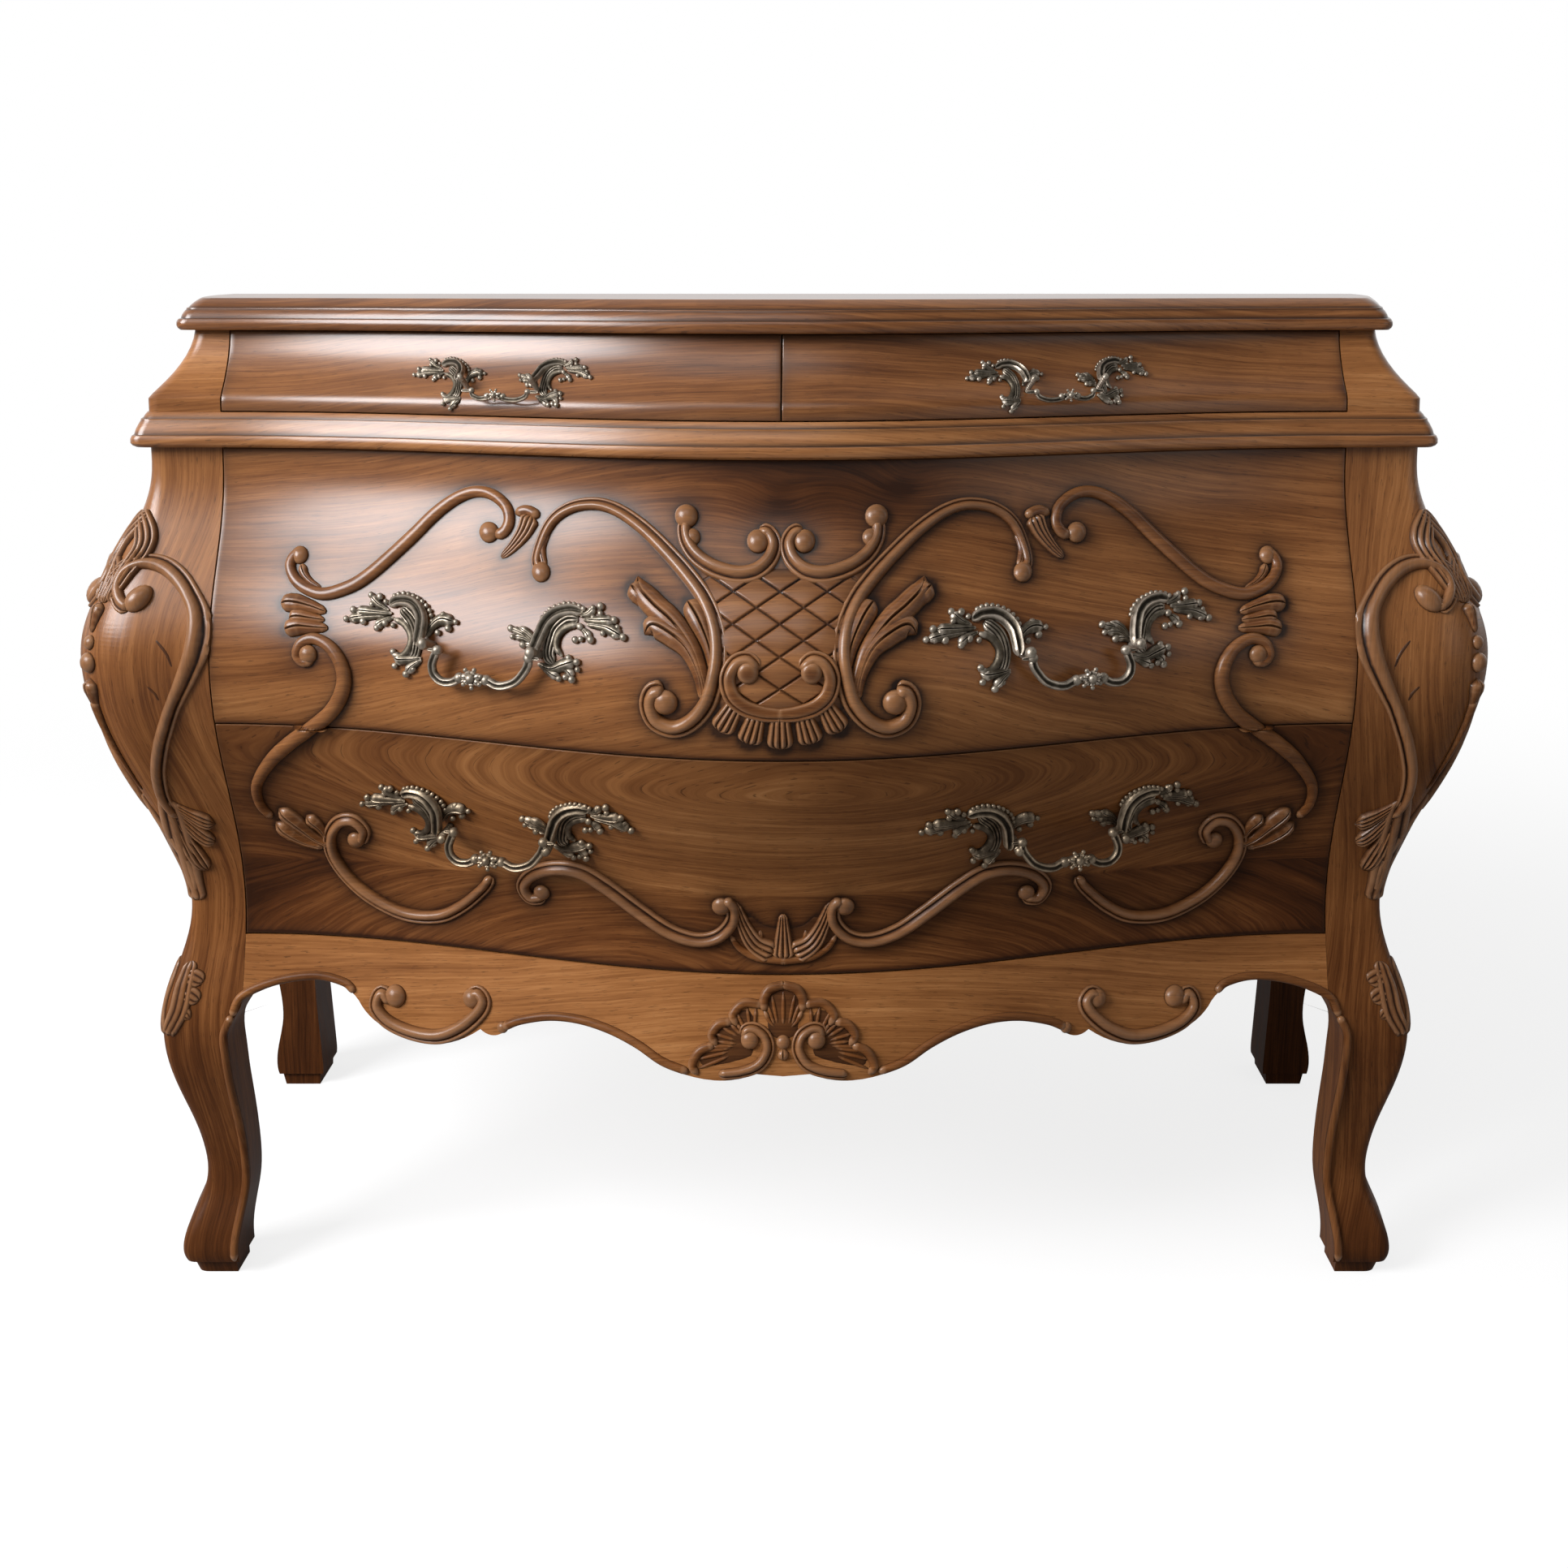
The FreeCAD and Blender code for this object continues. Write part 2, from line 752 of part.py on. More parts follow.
def frieze_side_wire(z, half):
    wall = size("side_thickness")
    rear = size("rear_leg_depth")
    return Part.Wire([
        side_edge(z, post_depth, 0.0, half),
        line(point(side_x(0.0, z, half), 0.0, z), point(rear_opening, 0.0, z)),
        line(point(rear_opening, 0.0, z), point(rear_opening, rear, z)),
        line(point(rear_opening, rear, z), point(side_x(rear, z, half, wall), rear, z)),
        side_edge(z, rear, post_depth, half, wall),
        line(point(side_x(post_depth, z, half, wall), post_depth, z),
             point(side_x(post_depth, z, half), post_depth, z)),
    ])


def make_frieze():
    keep_pair("frieze_corner", frieze_solid(frieze_corner_wire, waist_top, frieze_top))
    keep_pair("frieze_side", frieze_solid(frieze_side_wire, waist_top, frieze_top))


def make_back_and_divider():
    keep_board("back_panel", "2 * (Sizes.rear_opening_half - Sizes.housing_clearance)",
               "Sizes.back_thickness", FRIEZE_TOP + " - Sizes.drawer_zone_base",
               "-(Sizes.rear_opening_half - Sizes.housing_clearance)",
               BACK_Y + " - Sizes.back_thickness", "Sizes.drawer_zone_base")
    keep_board("frieze_divider", "Sizes.divider_thickness",
               "Sizes.opening_half - Sizes.corner_setback - 2 * Sizes.back_thickness",
               "Sizes.frieze_height", "-Sizes.divider_thickness / 2",
               BACK_Y + " - (Sizes.opening_half - Sizes.corner_setback) + Sizes.back_thickness",
               WAIST_TOP)


# Drawers

def ahead_wire(z, x_start, x_end, half=None):
    """Plan of the room that a drawer's front and the air before it take."""
    thickness = size("front_thickness") + size("housing_clearance")
    far = foremost + overrun
    start = point(x_start, front_depth(x_start, z, half, thickness), z)
    end = point(x_end, front_depth(x_end, z, half, thickness), z)
    return Part.Wire([
        front_edge(z, x_start, x_end, half, thickness),
        line(end, point(x_end, far, z)),
        line(point(x_end, far, z), point(x_start, far, z)),
        line(point(x_start, far, z), start),
    ])


def keep_drawer_box(name, ahead, x_left, x_right, low, high):
    """Sides, back and bottom of a drawer, fitted behind its front."""
    wall = size("box_side_thickness")
    rear = size("box_rear_space")
    reach = foremost - rear
    for side, x in (("left", x_left), ("right", x_right - wall)):
        blank = Part.makeBox(wall, reach, high - low, point(x, foremost, low))
        keep("%s_side_%s" % (name, side), blank.cut(ahead))
    inner_left = x_left + wall
    inner_width = x_right - x_left - 2 * wall
    bottom_low = low + size("box_bottom_raise")
    back_low = bottom_low + size("box_bottom_thickness")
    back_depth = rear + size("box_back_thickness")
    back = Part.makeBox(inner_width, size("box_back_thickness"), high - back_low,
                        point(inner_left, back_depth, back_low))
    keep(name + "_back", back)
    blank = Part.makeBox(inner_width, reach, size("box_bottom_thickness"),
                         point(inner_left, foremost, bottom_low))
    keep(name + "_bottom", blank.cut(ahead))


CARTOUCHE_TAPER_SHARE = 0.45


def cartouche(board_low):
    """The raised shield that carries the carved lattice, bent to the front."""
    half_width = size("cartouche_width") / 2
    half_height = size("cartouche_height") / 2
    centre = board_low + size("cartouche_rise")
    relief = size("carving_relief")
    wires = []
    for z in steps(centre - half_height, centre + half_height, 7):
        below = (centre + half_height - z) / (2 * half_height)
        across = half_width * (1 - CARTOUCHE_TAPER_SHARE * below * below)
        raised = [point(x, front_depth(x, z, None, -relief), z) for x in (-across, across)]
        sunk = [point(x, front_depth(x, z, None, relief), z) for x in (-across, across)]
        wires.append(Part.Wire([
            front_edge(z, -across, across, None, -relief),
            line(raised[1], sunk[1]),
            front_edge(z, across, -across, None, relief),
            line(sunk[0], raised[0]),
        ]))
    return loft(wires)


def pull_places(kind, centre):
    """X of the two pins of a pull of this kind."""
    span = size(kind + "_pin_span")
    return [centre - span / 2, centre + span / 2]


def drill_for_pulls(front, kind, centres, height):
    """Clearance holes for the pull bolts, along Y."""
    radius = size("bolt_radius") + size("pin_clearance")
    for centre in centres:
        for x in pull_places(kind, centre):
            start = point(x, foremost + overrun, height)
            front = front.cut(Part.makeCylinder(radius, foremost, start, FreeCAD.Vector(0, 1, 0)))
    return front


def make_long_drawer(name, low, high, box_low, box_high, pull_rise, carved):
    edge = opening - gap
    thickness = size("front_thickness")
    front = loft([front_board_wire(z, -edge, edge, thickness) for z in steps(low, high, 9)])
    if carved:
        front = front.fuse(cartouche(low))
    centres = [-size("pull_spacing_half"), size("pull_spacing_half")]
    pull_height = low + pull_rise
    front = drill_for_pulls(front, "pull", centres, pull_height)
    keep(name + "_front", front)
    ahead_levels = steps(low, high, 9)
    ahead_levels[0] = box_low - gap
    ahead = loft([ahead_wire(z, -opening, opening) for z in ahead_levels])
    box_half = opening - size("box_side_inset")
    keep_drawer_box(name, ahead, -box_half, box_half, box_low, box_high)
    make_pulls(name, front, "pull", centres, pull_height, corner_half)


def make_small_drawer(name, x_left, x_right, box_left, box_right, centre):
    low = waist_top + gap
    high = frieze_top - gap
    thickness = size("front_thickness")

    def front_wire(z, half):
        return front_board_wire(z, x_left, x_right, thickness, half)

    def room_wire(z, half):
        return ahead_wire(z, x_left - gap, x_right + gap, half)

    front = frieze_solid(front_wire, low, high)
    height = low + size("small_pull_rise")
    front = drill_for_pulls(front, "small", [centre], height)
    keep(name + "_front", front)
    ahead = frieze_solid(room_wire, waist_top, frieze_top)
    box_low = waist_top + size("run_clearance")
    box_high = frieze_top - size("box_top_space")
    keep_drawer_box(name, ahead, box_left, box_right, box_low, box_high)
    make_pulls(name, front, "small", [centre], height, frieze_half)


# Cast bail pulls. Each has two leafy scroll mounts, bent to the drawer's front,
# and a bail that hangs between their ears. The outline's shares run over the
# mount's length and height, from the pin.

MOUNT_OUTLINE_SHARES = [
    (-0.67, 0.53), (-0.58, 0.67), (-0.44, 0.78), (-0.33, 0.74), (-0.22, 0.84), (-0.08, 0.83),
    (0.04, 0.72), (0.1, 0.55), (0.2, 0.52), (0.31, 0.5), (0.3, 0.4), (0.16, 0.32),
    (0.09, 0.18), (0.08, -0.08), (-0.06, -0.12), (-0.18, -0.17), (-0.24, -0.06), (-0.14, 0.03),
    (-0.26, 0.14), (-0.22, 0.24), (-0.12, 0.34), (-0.15, 0.46), (-0.26, 0.4), (-0.42, 0.44), (-0.55, 0.46),
]
NECK_SHARE = 0.62
BEND_SHARE = 0.8
BALL_SHARE = 1.15
QUARTER_TURN = 90


def mount_plate(front, kind, x, height, outward, half_at):
    """One mount's leafy plate: its outline, held to a skin of the front's shape."""
    length = size(kind + "_mount_length")
    tall = size(kind + "_mount_height")
    thickness = size("mount_thickness")
    corners = []
    for across, up in MOUNT_OUTLINE_SHARES:
        corners.append(point(x - outward * length * across, foremost + overrun, height + tall * up))
    face = Part.Face(Part.makePolygon(corners + [corners[0]]))
    prism = face.extrude(FreeCAD.Vector(0, foremost, 0))
    wires = []
    for z in steps(height - tall, height + tall, 9):
        half = half_at(z)
        start, end = x - length, x + length
        wires.append(Part.Wire([
            front_edge(z, start, end, half, -thickness),
            line(point(end, front_depth(end, z, half, -thickness), z),
                 point(end, front_depth(end, z, half, thickness), z)),
            front_edge(z, end, start, half, thickness),
            line(point(start, front_depth(start, z, half, thickness), z),
                 point(start, front_depth(start, z, half, -thickness), z)),
        ]))
    return prism.common(loft(wires)).cut(front)


def hinge_frame(kind, centre, height, half_at):
    """The two pin points of a pull and the unit vector from left to right."""
    stand = size(kind + "_standoff")
    half = half_at(height)
    left, right = [point(x, front_depth(x, height, half, -stand), height) for x in pull_places(kind, centre)]
    return left, right, (right - left).normalize()


def make_mounts(name, front, kind, centre, height, half_at):
    left, right, along = hinge_frame(kind, centre, height, half_at)
    length = size("ear_length")
    hole_radius = size("pin_radius") + size("pin_clearance")
    mounts = []
    for pin, outward in ((left, 1), (right, -1)):
        plate = mount_plate(front, kind, pin.x, height, -outward, half_at)
        reach = size(kind + "_standoff") * along.x - size("mount_thickness") / 2
        backwards = FreeCAD.Vector(0, 0, 1).cross(along)
        neck = Part.makeCylinder(size("ear_radius") * NECK_SHARE, reach, pin, backwards)
        ear = Part.makeCylinder(size("ear_radius"), length, pin - along * (length / 2), along)
        hole = Part.makeCylinder(hole_radius, 2 * length, pin - along * length, along)
        mounts.append(plate.multiFuse([neck, ear]).cut(hole))
    solids = [solid for mount in mounts for solid in mount.Solids]
    keep(name + "_mounts", Part.makeCompound(solids))
    return solids


def bail_shape(arm, drop, bar, bend, knot):
    """A flat U of round bar round the Y axis, hung from the origin, with a knot below."""
    side_y = FreeCAD.Vector(0, 1, 0)
    down = FreeCAD.Vector(0, 0, -1)
    low = FreeCAD.Vector(arm - bend, 0, -drop)
    straight = drop - bend
    upright = Part.makeCylinder(bar, straight, FreeCAD.Vector(arm, 0, 0), down)
    end_face = Part.Face(Part.Wire([Part.makeCircle(bar, FreeCAD.Vector(arm, 0, -straight), down)]))
    corner = end_face.revolve(FreeCAD.Vector(arm - bend, 0, -straight), side_y, QUARTER_TURN)
    run = Part.makeCylinder(bar, arm - bend, low, FreeCAD.Vector(-1, 0, 0))
    top = FreeCAD.Vector(arm, 0, 0)
    top_ball = Part.makeSphere(bar * BALL_SHARE, top)
    top_ball.rotate(top, down, QUARTER_TURN)
    pin = Part.makeCylinder(size("pin_radius"), arm_reach(bar) + size("ear_length"),
                            FreeCAD.Vector(arm, 0, 0), FreeCAD.Vector(1, 0, 0))
    half = [upright, corner, run, top_ball, pin]
    flip = FreeCAD.Vector(1, 0, 0)
    other = [piece.mirror(FreeCAD.Vector(), flip) for piece in half]
    knot_ball = Part.makeSphere(knot, down * drop, flip)
    return knot_ball.multiFuse(half + other).removeSplitter()


def arm_reach(bar):
    """From the middle of a bail's arm to the ear's inner face."""
    return bar * BALL_SHARE + size("pin_end_clearance")


def make_bail(name, kind, centre, height, half_at):
    """A round bar in a flat U with a knot in its middle and a pin at each end."""
    left, right, along = hinge_frame(kind, centre, height, half_at)
    bar = size(kind + "_bar_radius")
    drop = size(kind + "_drop")
    arm = size(kind + "_pin_span") / 2 / along.x - size("ear_length") / 2 - arm_reach(bar)
    bend = min(drop, arm) * BEND_SHARE
    shape = bail_shape(arm, drop, bar, bend, size(kind + "_knot_radius"))
    turn = FreeCAD.Rotation(FreeCAD.Vector(1, 0, 0), along)
    feature = keep(name + "_bail", shape)
    feature.Placement = FreeCAD.Placement((left + right) * 0.5, turn)


def rearmost(shape):
    """The solid that reaches furthest back, where a cut has left more than one."""
    return max(shape.Solids, key=lambda solid: solid.BoundBox.YMax)


def make_bolts(name, front, mounts, kind, centres, height, half_at):
    """Bolts from the mounts through the front, each with a hexagon nut inside."""
    radius = size("bolt_radius")
    nut_radius = size("nut_radius")
    nut_thickness = size("nut_thickness")
    thickness = size("front_thickness")
    backwards = FreeCAD.Vector(0, 1, 0)
    solids = []
    for centre in centres:
        for x in pull_places(kind, centre):
            depth = front_depth(x, height, half_at(height))
            nut_end = depth - thickness - nut_radius / 2 - nut_thickness
            length = depth - nut_end + 2 * radius
            bolt = Part.makeCylinder(radius, length, point(x, depth + radius, height), backwards)
            bolt = bolt.cut(mounts)
            corners = []
            for index in range(7):
                angle = math.pi * index / 3
                corners.append(point(x + nut_radius * math.cos(angle), depth - thickness / 2,
                                     height + nut_radius * math.sin(angle)))
            nut = Part.Face(Part.makePolygon(corners)).extrude(backwards * (depth - thickness / 2 - nut_end))
            hole = Part.makeCylinder(radius, 2 * thickness, point(x, depth, height), backwards)
            solids += [rearmost(bolt), nut.cut(front).cut(hole)]
    keep(name + "_pull_bolts", Part.makeCompound([part for solid in solids for part in solid.Solids]))


def make_pulls(name, front, kind, centres, height, half_at):
    sides = ["_pull"] if len(centres) == 1 else ["_left_pull", "_right_pull"]
    mounts = []
    for side, centre in zip(sides, centres):
        mounts += make_mounts(name + side, front, kind, centre, height, half_at)
        make_bail(name + side, kind, centre, height, half_at)
        left, right, along = hinge_frame(kind, centre, height, half_at)
        middle = (left + right) * 0.5
        print("hinge %s at %.3f %.3f %.3f axis %.5f %.5f %.5f" % (
            name + side, middle.x, middle.y, middle.z, along.x, along.y, along.z))
    make_bolts(name, front, mounts, kind, centres, height, half_at)


def make_drawers():
    dust_top = division + size("dust_board_thickness") / 2
    dust_low = division - size("dust_board_thickness") / 2
    fit = size("run_clearance")
    space = size("box_top_space")
    make_long_drawer("lower_drawer", base + gap, division - gap / 2, base + fit, dust_low - space,
                     size("lower_pull_rise"), False)
    make_long_drawer("middle_drawer", division + gap / 2, waist_base - gap, dust_top + fit,
                     waist_base - space, size("middle_pull_rise"), True)
    edge = opening - gap
    box_half = opening - size("box_side_inset")
    box_middle = size("divider_thickness") / 2 + gap
    pull_centre = size("small_pull_spacing_half")
    make_small_drawer("left_small_drawer", -edge, -gap / 2, -box_half, -box_middle, -pull_centre)
    make_small_drawer("right_small_drawer", gap / 2, edge, box_middle, box_half, pull_centre)


make_front_legs()
make_rear_legs()
make_side_panels()
make_side_aprons()
make_front_apron()
make_case_boards()
make_drawer_guides()
make_top_board()
make_waist_moulding()
make_frieze()
make_back_and_divider()
make_drawers()


def check_and_export():
    """Stop on any failed feature, then write one file for each sub-part."""
    doc.recompute()
    for item in doc.Objects:
        if "Invalid" in item.State or "Error" in item.State:
            raise RuntimeError("%s did not compute: %s" % (item.Name, item.State))
    for node in nodes:
        if node.Shape.isNull() or not node.Shape.isValid():
            raise RuntimeError("%s has no valid shape" % node.Label)
    os.makedirs("parts", exist_ok=True)
    for node in nodes:
        node.Shape.exportStep(os.path.join("parts", node.Label + ".step"))
        box = node.Shape.optimalBoundingBox()
        print("%-28s solids %d volume %9.0f  X %7.1f %7.1f  Y %7.1f %7.1f  Z %6.1f %6.1f" % (
            node.Label, len(node.Shape.Solids), node.Shape.Volume,
            box.XMin, box.XMax, box.YMin, box.YMax, box.ZMin, box.ZMax))


check_and_export()
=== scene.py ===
# %% [markdown]
# A walnut commode chest, built as a lesson.
# The chest has two small drawers over two long ones. Its front and sides swell, its legs curve,
# and scrolls are carved on the drawers, the corner posts and the apron.
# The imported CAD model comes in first. It fixes every size, so the looks are built around it.

# %% Load the fixed frame
import math
import bmesh
import bpy
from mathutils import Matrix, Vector
from mathutils.bvhtree import BVHTree
from mathutils.kdtree import KDTree


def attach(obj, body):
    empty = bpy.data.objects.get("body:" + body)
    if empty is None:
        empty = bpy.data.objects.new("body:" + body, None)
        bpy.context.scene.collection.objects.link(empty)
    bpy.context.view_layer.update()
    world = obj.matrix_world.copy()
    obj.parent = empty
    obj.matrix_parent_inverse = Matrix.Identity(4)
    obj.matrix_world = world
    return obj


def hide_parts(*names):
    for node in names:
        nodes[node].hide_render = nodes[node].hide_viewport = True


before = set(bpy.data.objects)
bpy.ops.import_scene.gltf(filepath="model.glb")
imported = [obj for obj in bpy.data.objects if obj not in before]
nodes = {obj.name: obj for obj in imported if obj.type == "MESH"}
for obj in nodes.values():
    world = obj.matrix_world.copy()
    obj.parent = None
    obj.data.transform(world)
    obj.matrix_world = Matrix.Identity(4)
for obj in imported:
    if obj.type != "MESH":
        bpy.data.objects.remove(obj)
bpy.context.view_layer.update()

# %% [markdown]
# The camera stands where the photographer stood: nearly in front, at table height, tilted down
# by seven degrees. The photograph was cropped off centre, and the lens shift repeats that crop.
# All sizes below are in millimetres and are turned into metres as they reach Blender.

# %% Camera
MM = 0.001
PHOTO_SIDE = 1932.0
FOCAL_PX = 2221.65
SENSOR_MM = 36.0
PRINCIPAL_PX = (1013.0, 614.6)
CAMERA_MM = Vector((31.0, -1589.8, 856.9))
CAMERA_TILT = math.radians(7.0)

scene = bpy.context.scene
scene.view_settings.view_transform = "Standard"
camera_data = bpy.data.cameras.new("photo_camera")
camera_data.sensor_width = SENSOR_MM
camera_data.lens = FOCAL_PX * SENSOR_MM / PHOTO_SIDE
camera_data.shift_x = (PHOTO_SIDE / 2 - PRINCIPAL_PX[0]) / PHOTO_SIDE
camera_data.shift_y = (PRINCIPAL_PX[1] - PHOTO_SIDE / 2) / PHOTO_SIDE
camera_data.clip_end = 60.0
camera = bpy.data.objects.new("photo_camera", camera_data)
camera.location = CAMERA_MM * MM
camera.rotation_euler = (math.radians(90.0) - CAMERA_TILT, 0.0, 0.0)
scene.collection.objects.link(camera)
scene.camera = camera
print("lens", round(camera_data.lens, 2), "shift", camera_data.shift_x, camera_data.shift_y)

# %% [markdown]
# The stage is a pale floor under a white studio. The floor adds a little glow to its plain
# diffuse shading, for camera and mirror rays alone, so it looks white and keeps the chest's shadow.
# Mirror rays get less of it, because the real chest stood on a darker floor than the page is.
# The world is white behind the chest and dim in front of it, as a room is when one window lights it.

# %% Node helpers
def new_material(name):
    """A material with an empty node tree and its output."""
    material = bpy.data.materials.new(name)
    material.use_nodes = True
    tree = material.node_tree
    tree.nodes.clear()
    output = tree.nodes.new("ShaderNodeOutputMaterial")
    return material, tree, output


def deselect_all():
    if bpy.context.mode != "OBJECT":
        bpy.ops.object.mode_set(mode="OBJECT")
    bpy.ops.object.select_all(action="DESELECT")


def feed(tree, socket, value):
    """Gives a socket either another socket's output or a plain value."""
    if isinstance(value, bpy.types.NodeSocket):
        tree.links.new(value, socket)
    elif value is not None:
        socket.default_value = value


def math_node(tree, operation, first, second=None, clamp=False):
    """A math node. Each input is a socket or a number."""
    node = tree.nodes.new("ShaderNodeMath")
    node.operation = operation
    node.use_clamp = clamp
    feed(tree, node.inputs[0], first)
    feed(tree, node.inputs[1], second)
    return node.outputs[0]


def seen_rays(tree):
    """1 for camera, glossy and transmission rays, else 0."""
    path = tree.nodes.new("ShaderNodeLightPath")
    shown = math_node(tree, "MAXIMUM", path.outputs["Is Camera Ray"], path.outputs["Is Glossy Ray"])
    return math_node(tree, "MAXIMUM", shown, path.outputs["Is Transmission Ray"])


def ray_level(tree, camera, mirror, room):
    """A strength of its own for camera rays, for mirror and glass rays, and for all others."""
    path = tree.nodes.new("ShaderNodeLightPath")
    by_camera = math_node(tree, "MULTIPLY", path.outputs["Is Camera Ray"], camera - mirror)
    level = math_node(tree, "ADD", by_camera, mirror - room)
    shown = math_node(tree, "MULTIPLY", seen_rays(tree), level)
    return math_node(tree, "ADD", shown, room)


print("helpers for materials and light rays are ready")

# %% Floor
FLOOR_SIDE = 40.0
FLOOR_GREY = 0.26
FLOOR_GLOW = 0.8
FLOOR_MIRROR = 0.1
FADE_START = 0.9
FADE_END = 2.6
FAR_MIRROR = 0.3
FAR_ROOM = 0.2
floor_material, tree, output = new_material("pale_floor")
diffuse = tree.nodes.new("ShaderNodeBsdfDiffuse")
diffuse.inputs["Color"].default_value = (FLOOR_GREY, FLOOR_GREY, FLOOR_GREY, 1.0)
glow = tree.nodes.new("ShaderNodeEmission")
glow.inputs["Color"].default_value = (1.0, 1.0, 1.0, 1.0)
tree.links.new(ray_level(tree, FLOOR_GLOW, FLOOR_MIRROR, 0.0), glow.inputs["Strength"])
both = tree.nodes.new("ShaderNodeAddShader")
tree.links.new(diffuse.outputs[0], both.inputs[0])
tree.links.new(glow.outputs[0], both.inputs[1])
place = tree.nodes.new("ShaderNodeTexCoord")
distance = tree.nodes.new("ShaderNodeVectorMath")
distance.operation = "LENGTH"
tree.links.new(place.outputs["Object"], distance.inputs[0])
far = tree.nodes.new("ShaderNodeMapRange")
far.interpolation_type = "SMOOTHSTEP"
far.inputs["From Min"].default_value = FADE_START
far.inputs["From Max"].default_value = FADE_END
tree.links.new(distance.outputs["Value"], far.inputs["Value"])
sky_white = tree.nodes.new("ShaderNodeEmission")
tree.links.new(ray_level(tree, 1.0, FAR_MIRROR, FAR_ROOM), sky_white.inputs["Strength"])
faded = tree.nodes.new("ShaderNodeMixShader")
tree.links.new(far.outputs["Result"], faded.inputs[0])
tree.links.new(both.outputs[0], faded.inputs[1])
tree.links.new(sky_white.outputs[0], faded.inputs[2])
tree.links.new(faded.outputs[0], output.inputs["Surface"])

deselect_all()
bpy.ops.mesh.primitive_plane_add(size=FLOOR_SIDE, location=(0.0, 0.0, 0.0))
floor = bpy.context.active_object
floor.name = "studio_floor"
floor.data.materials.append(floor_material)
print("floor", floor.name)

# %% [markdown]
# The world is what lights the chest from all round and what its wax mirrors. A plain colour would
# put the same veil on every face. Here mirror rays find it white behind the chest and dim in front,
# while the camera always sees white, so the page stays clean and the wood keeps its depth.

# %% World
ROOM_LEVEL = 0.26
FRONT_LEVEL = 0.08
DIM_UP_TO_Y = -0.25
WHITE_FROM_Y = 0.15
world = bpy.data.worlds.new("studio")
scene.world = world
world.use_nodes = True
tree = world.node_tree
tree.nodes.clear()
output = tree.nodes.new("ShaderNodeOutputWorld")
direction = tree.nodes.new("ShaderNodeTexCoord")
parts = tree.nodes.new("ShaderNodeSeparateXYZ")
tree.links.new(direction.outputs["Generated"], parts.inputs[0])
behind = tree.nodes.new("ShaderNodeMapRange")
behind.interpolation_type = "SMOOTHSTEP"
behind.inputs["From Min"].default_value = DIM_UP_TO_Y
behind.inputs["From Max"].default_value = WHITE_FROM_Y
behind.inputs["To Min"].default_value = FRONT_LEVEL
behind.inputs["To Max"].default_value = 1.0
tree.links.new(parts.outputs["Y"], behind.inputs["Value"])
level = tree.nodes.new("ShaderNodeMix")
level.data_type = "FLOAT"
level.inputs[2].default_value = ROOM_LEVEL
tree.links.new(seen_rays(tree), level.inputs[0])
path = tree.nodes.new("ShaderNodeLightPath")
white = math_node(tree, "MAXIMUM", path.outputs["Is Camera Ray"], behind.outputs["Result"])
tree.links.new(white, level.inputs[3])
sky = tree.nodes.new("ShaderNodeBackground")
sky.inputs["Color"].default_value = (1.0, 1.0, 1.0, 1.0)
tree.links.new(level.outputs[0], sky.inputs["Strength"])
tree.links.new(sky.outputs[0], output.inputs["Surface"])
print("world", world.name, "room level", ROOM_LEVEL)

# %% [markdown]
# One big window stands high on the left. It makes the broad sheen on the middle drawer and the
# bright upper edges, and two weak lamps keep the right side and the top from going black.

# %% Lamps
def area_lamp(name, place, aim, width, height, watts, colour):
    """A soft rectangular lamp that faces a point."""
    data = bpy.data.lights.new(name, "AREA")
    data.shape = "RECTANGLE"
    data.size = width
    data.size_y = height
    data.energy = watts
    data.color = colour
    lamp = bpy.data.objects.new(name, data)
    lamp.location = place
    lamp.rotation_euler = (Vector(aim) - Vector(place)).to_track_quat("-Z", "Y").to_euler()
    scene.collection.objects.link(lamp)


LAMPS = (
    ("window_left", (-2.4, -1.6, 2.0), (-0.2, -0.2, 0.6), 1.6, 1.4, 150.0, (0.98, 0.98, 1.0)),
    ("window_top", (-0.5, -2.0, 2.9), (0.0, -0.1, 0.5), 1.8, 1.2, 14.0, (1.0, 1.0, 1.0)),
    ("fill_right", (2.6, -2.2, 1.2), (0.0, 0.0, 0.5), 1.6, 1.6, 6.0, (1.0, 0.97, 0.94)),
)
for lamp in LAMPS:
    area_lamp(*lamp)

# %% [markdown]
# The whole front is one swelling surface. The CAD source gives it as a formula: a profile of
# half widths over the height, and a bow in plan that is deepest in the middle. The same formula
# here lets a carving or a mount be laid on the wood exactly, whatever its height.

# %% Swelling front
BACK_Y = 301.0
SETBACK = 93.0
OPENING = 459.0
CORNER_STATIONS = ((0.0, 515.0), (22.0, 521.0), (86.0, 503.0), (222.0, 527.0),
                   (328.0, 505.5), (549.0, 572.0), (704.0, 518.0))
BOW_STATIONS = ((303.0, 92.0), (549.0, 117.0), (720.0, 103.0))
FRIEZE_STATIONS = ((748.0, 518.0), (759.0, 518.0), (762.9, 515.3), (767.8, 511.0), (773.3, 506.4),
                   (779.4, 501.8), (786.0, 497.6), (792.6, 493.9), (799.7, 490.9), (806.9, 488.7),
                   (814.0, 487.5))
WAIST_Z = 734.0


def eased_at(stations, z):
    """Value at a height, on an eased line through (height, value) stations."""
    if z <= stations[0][0]:
        return stations[0][1]
    for (low, low_value), (high, high_value) in zip(stations, stations[1:]):
        if z <= high:
            share = (z - low) / (high - low)
            return low_value + (high_value - low_value) * (1 - math.cos(math.pi * share)) / 2
    return stations[-1][1]


def straight_at(stations, z):
    """Value at a height, on straight lines between the stations."""
    if z <= stations[0][0]:
        return stations[0][1]
    for (low, low_value), (high, high_value) in zip(stations, stations[1:]):
        if z <= high:
            return low_value + (high_value - low_value) * (z - low) / (high - low)
    return stations[-1][1]


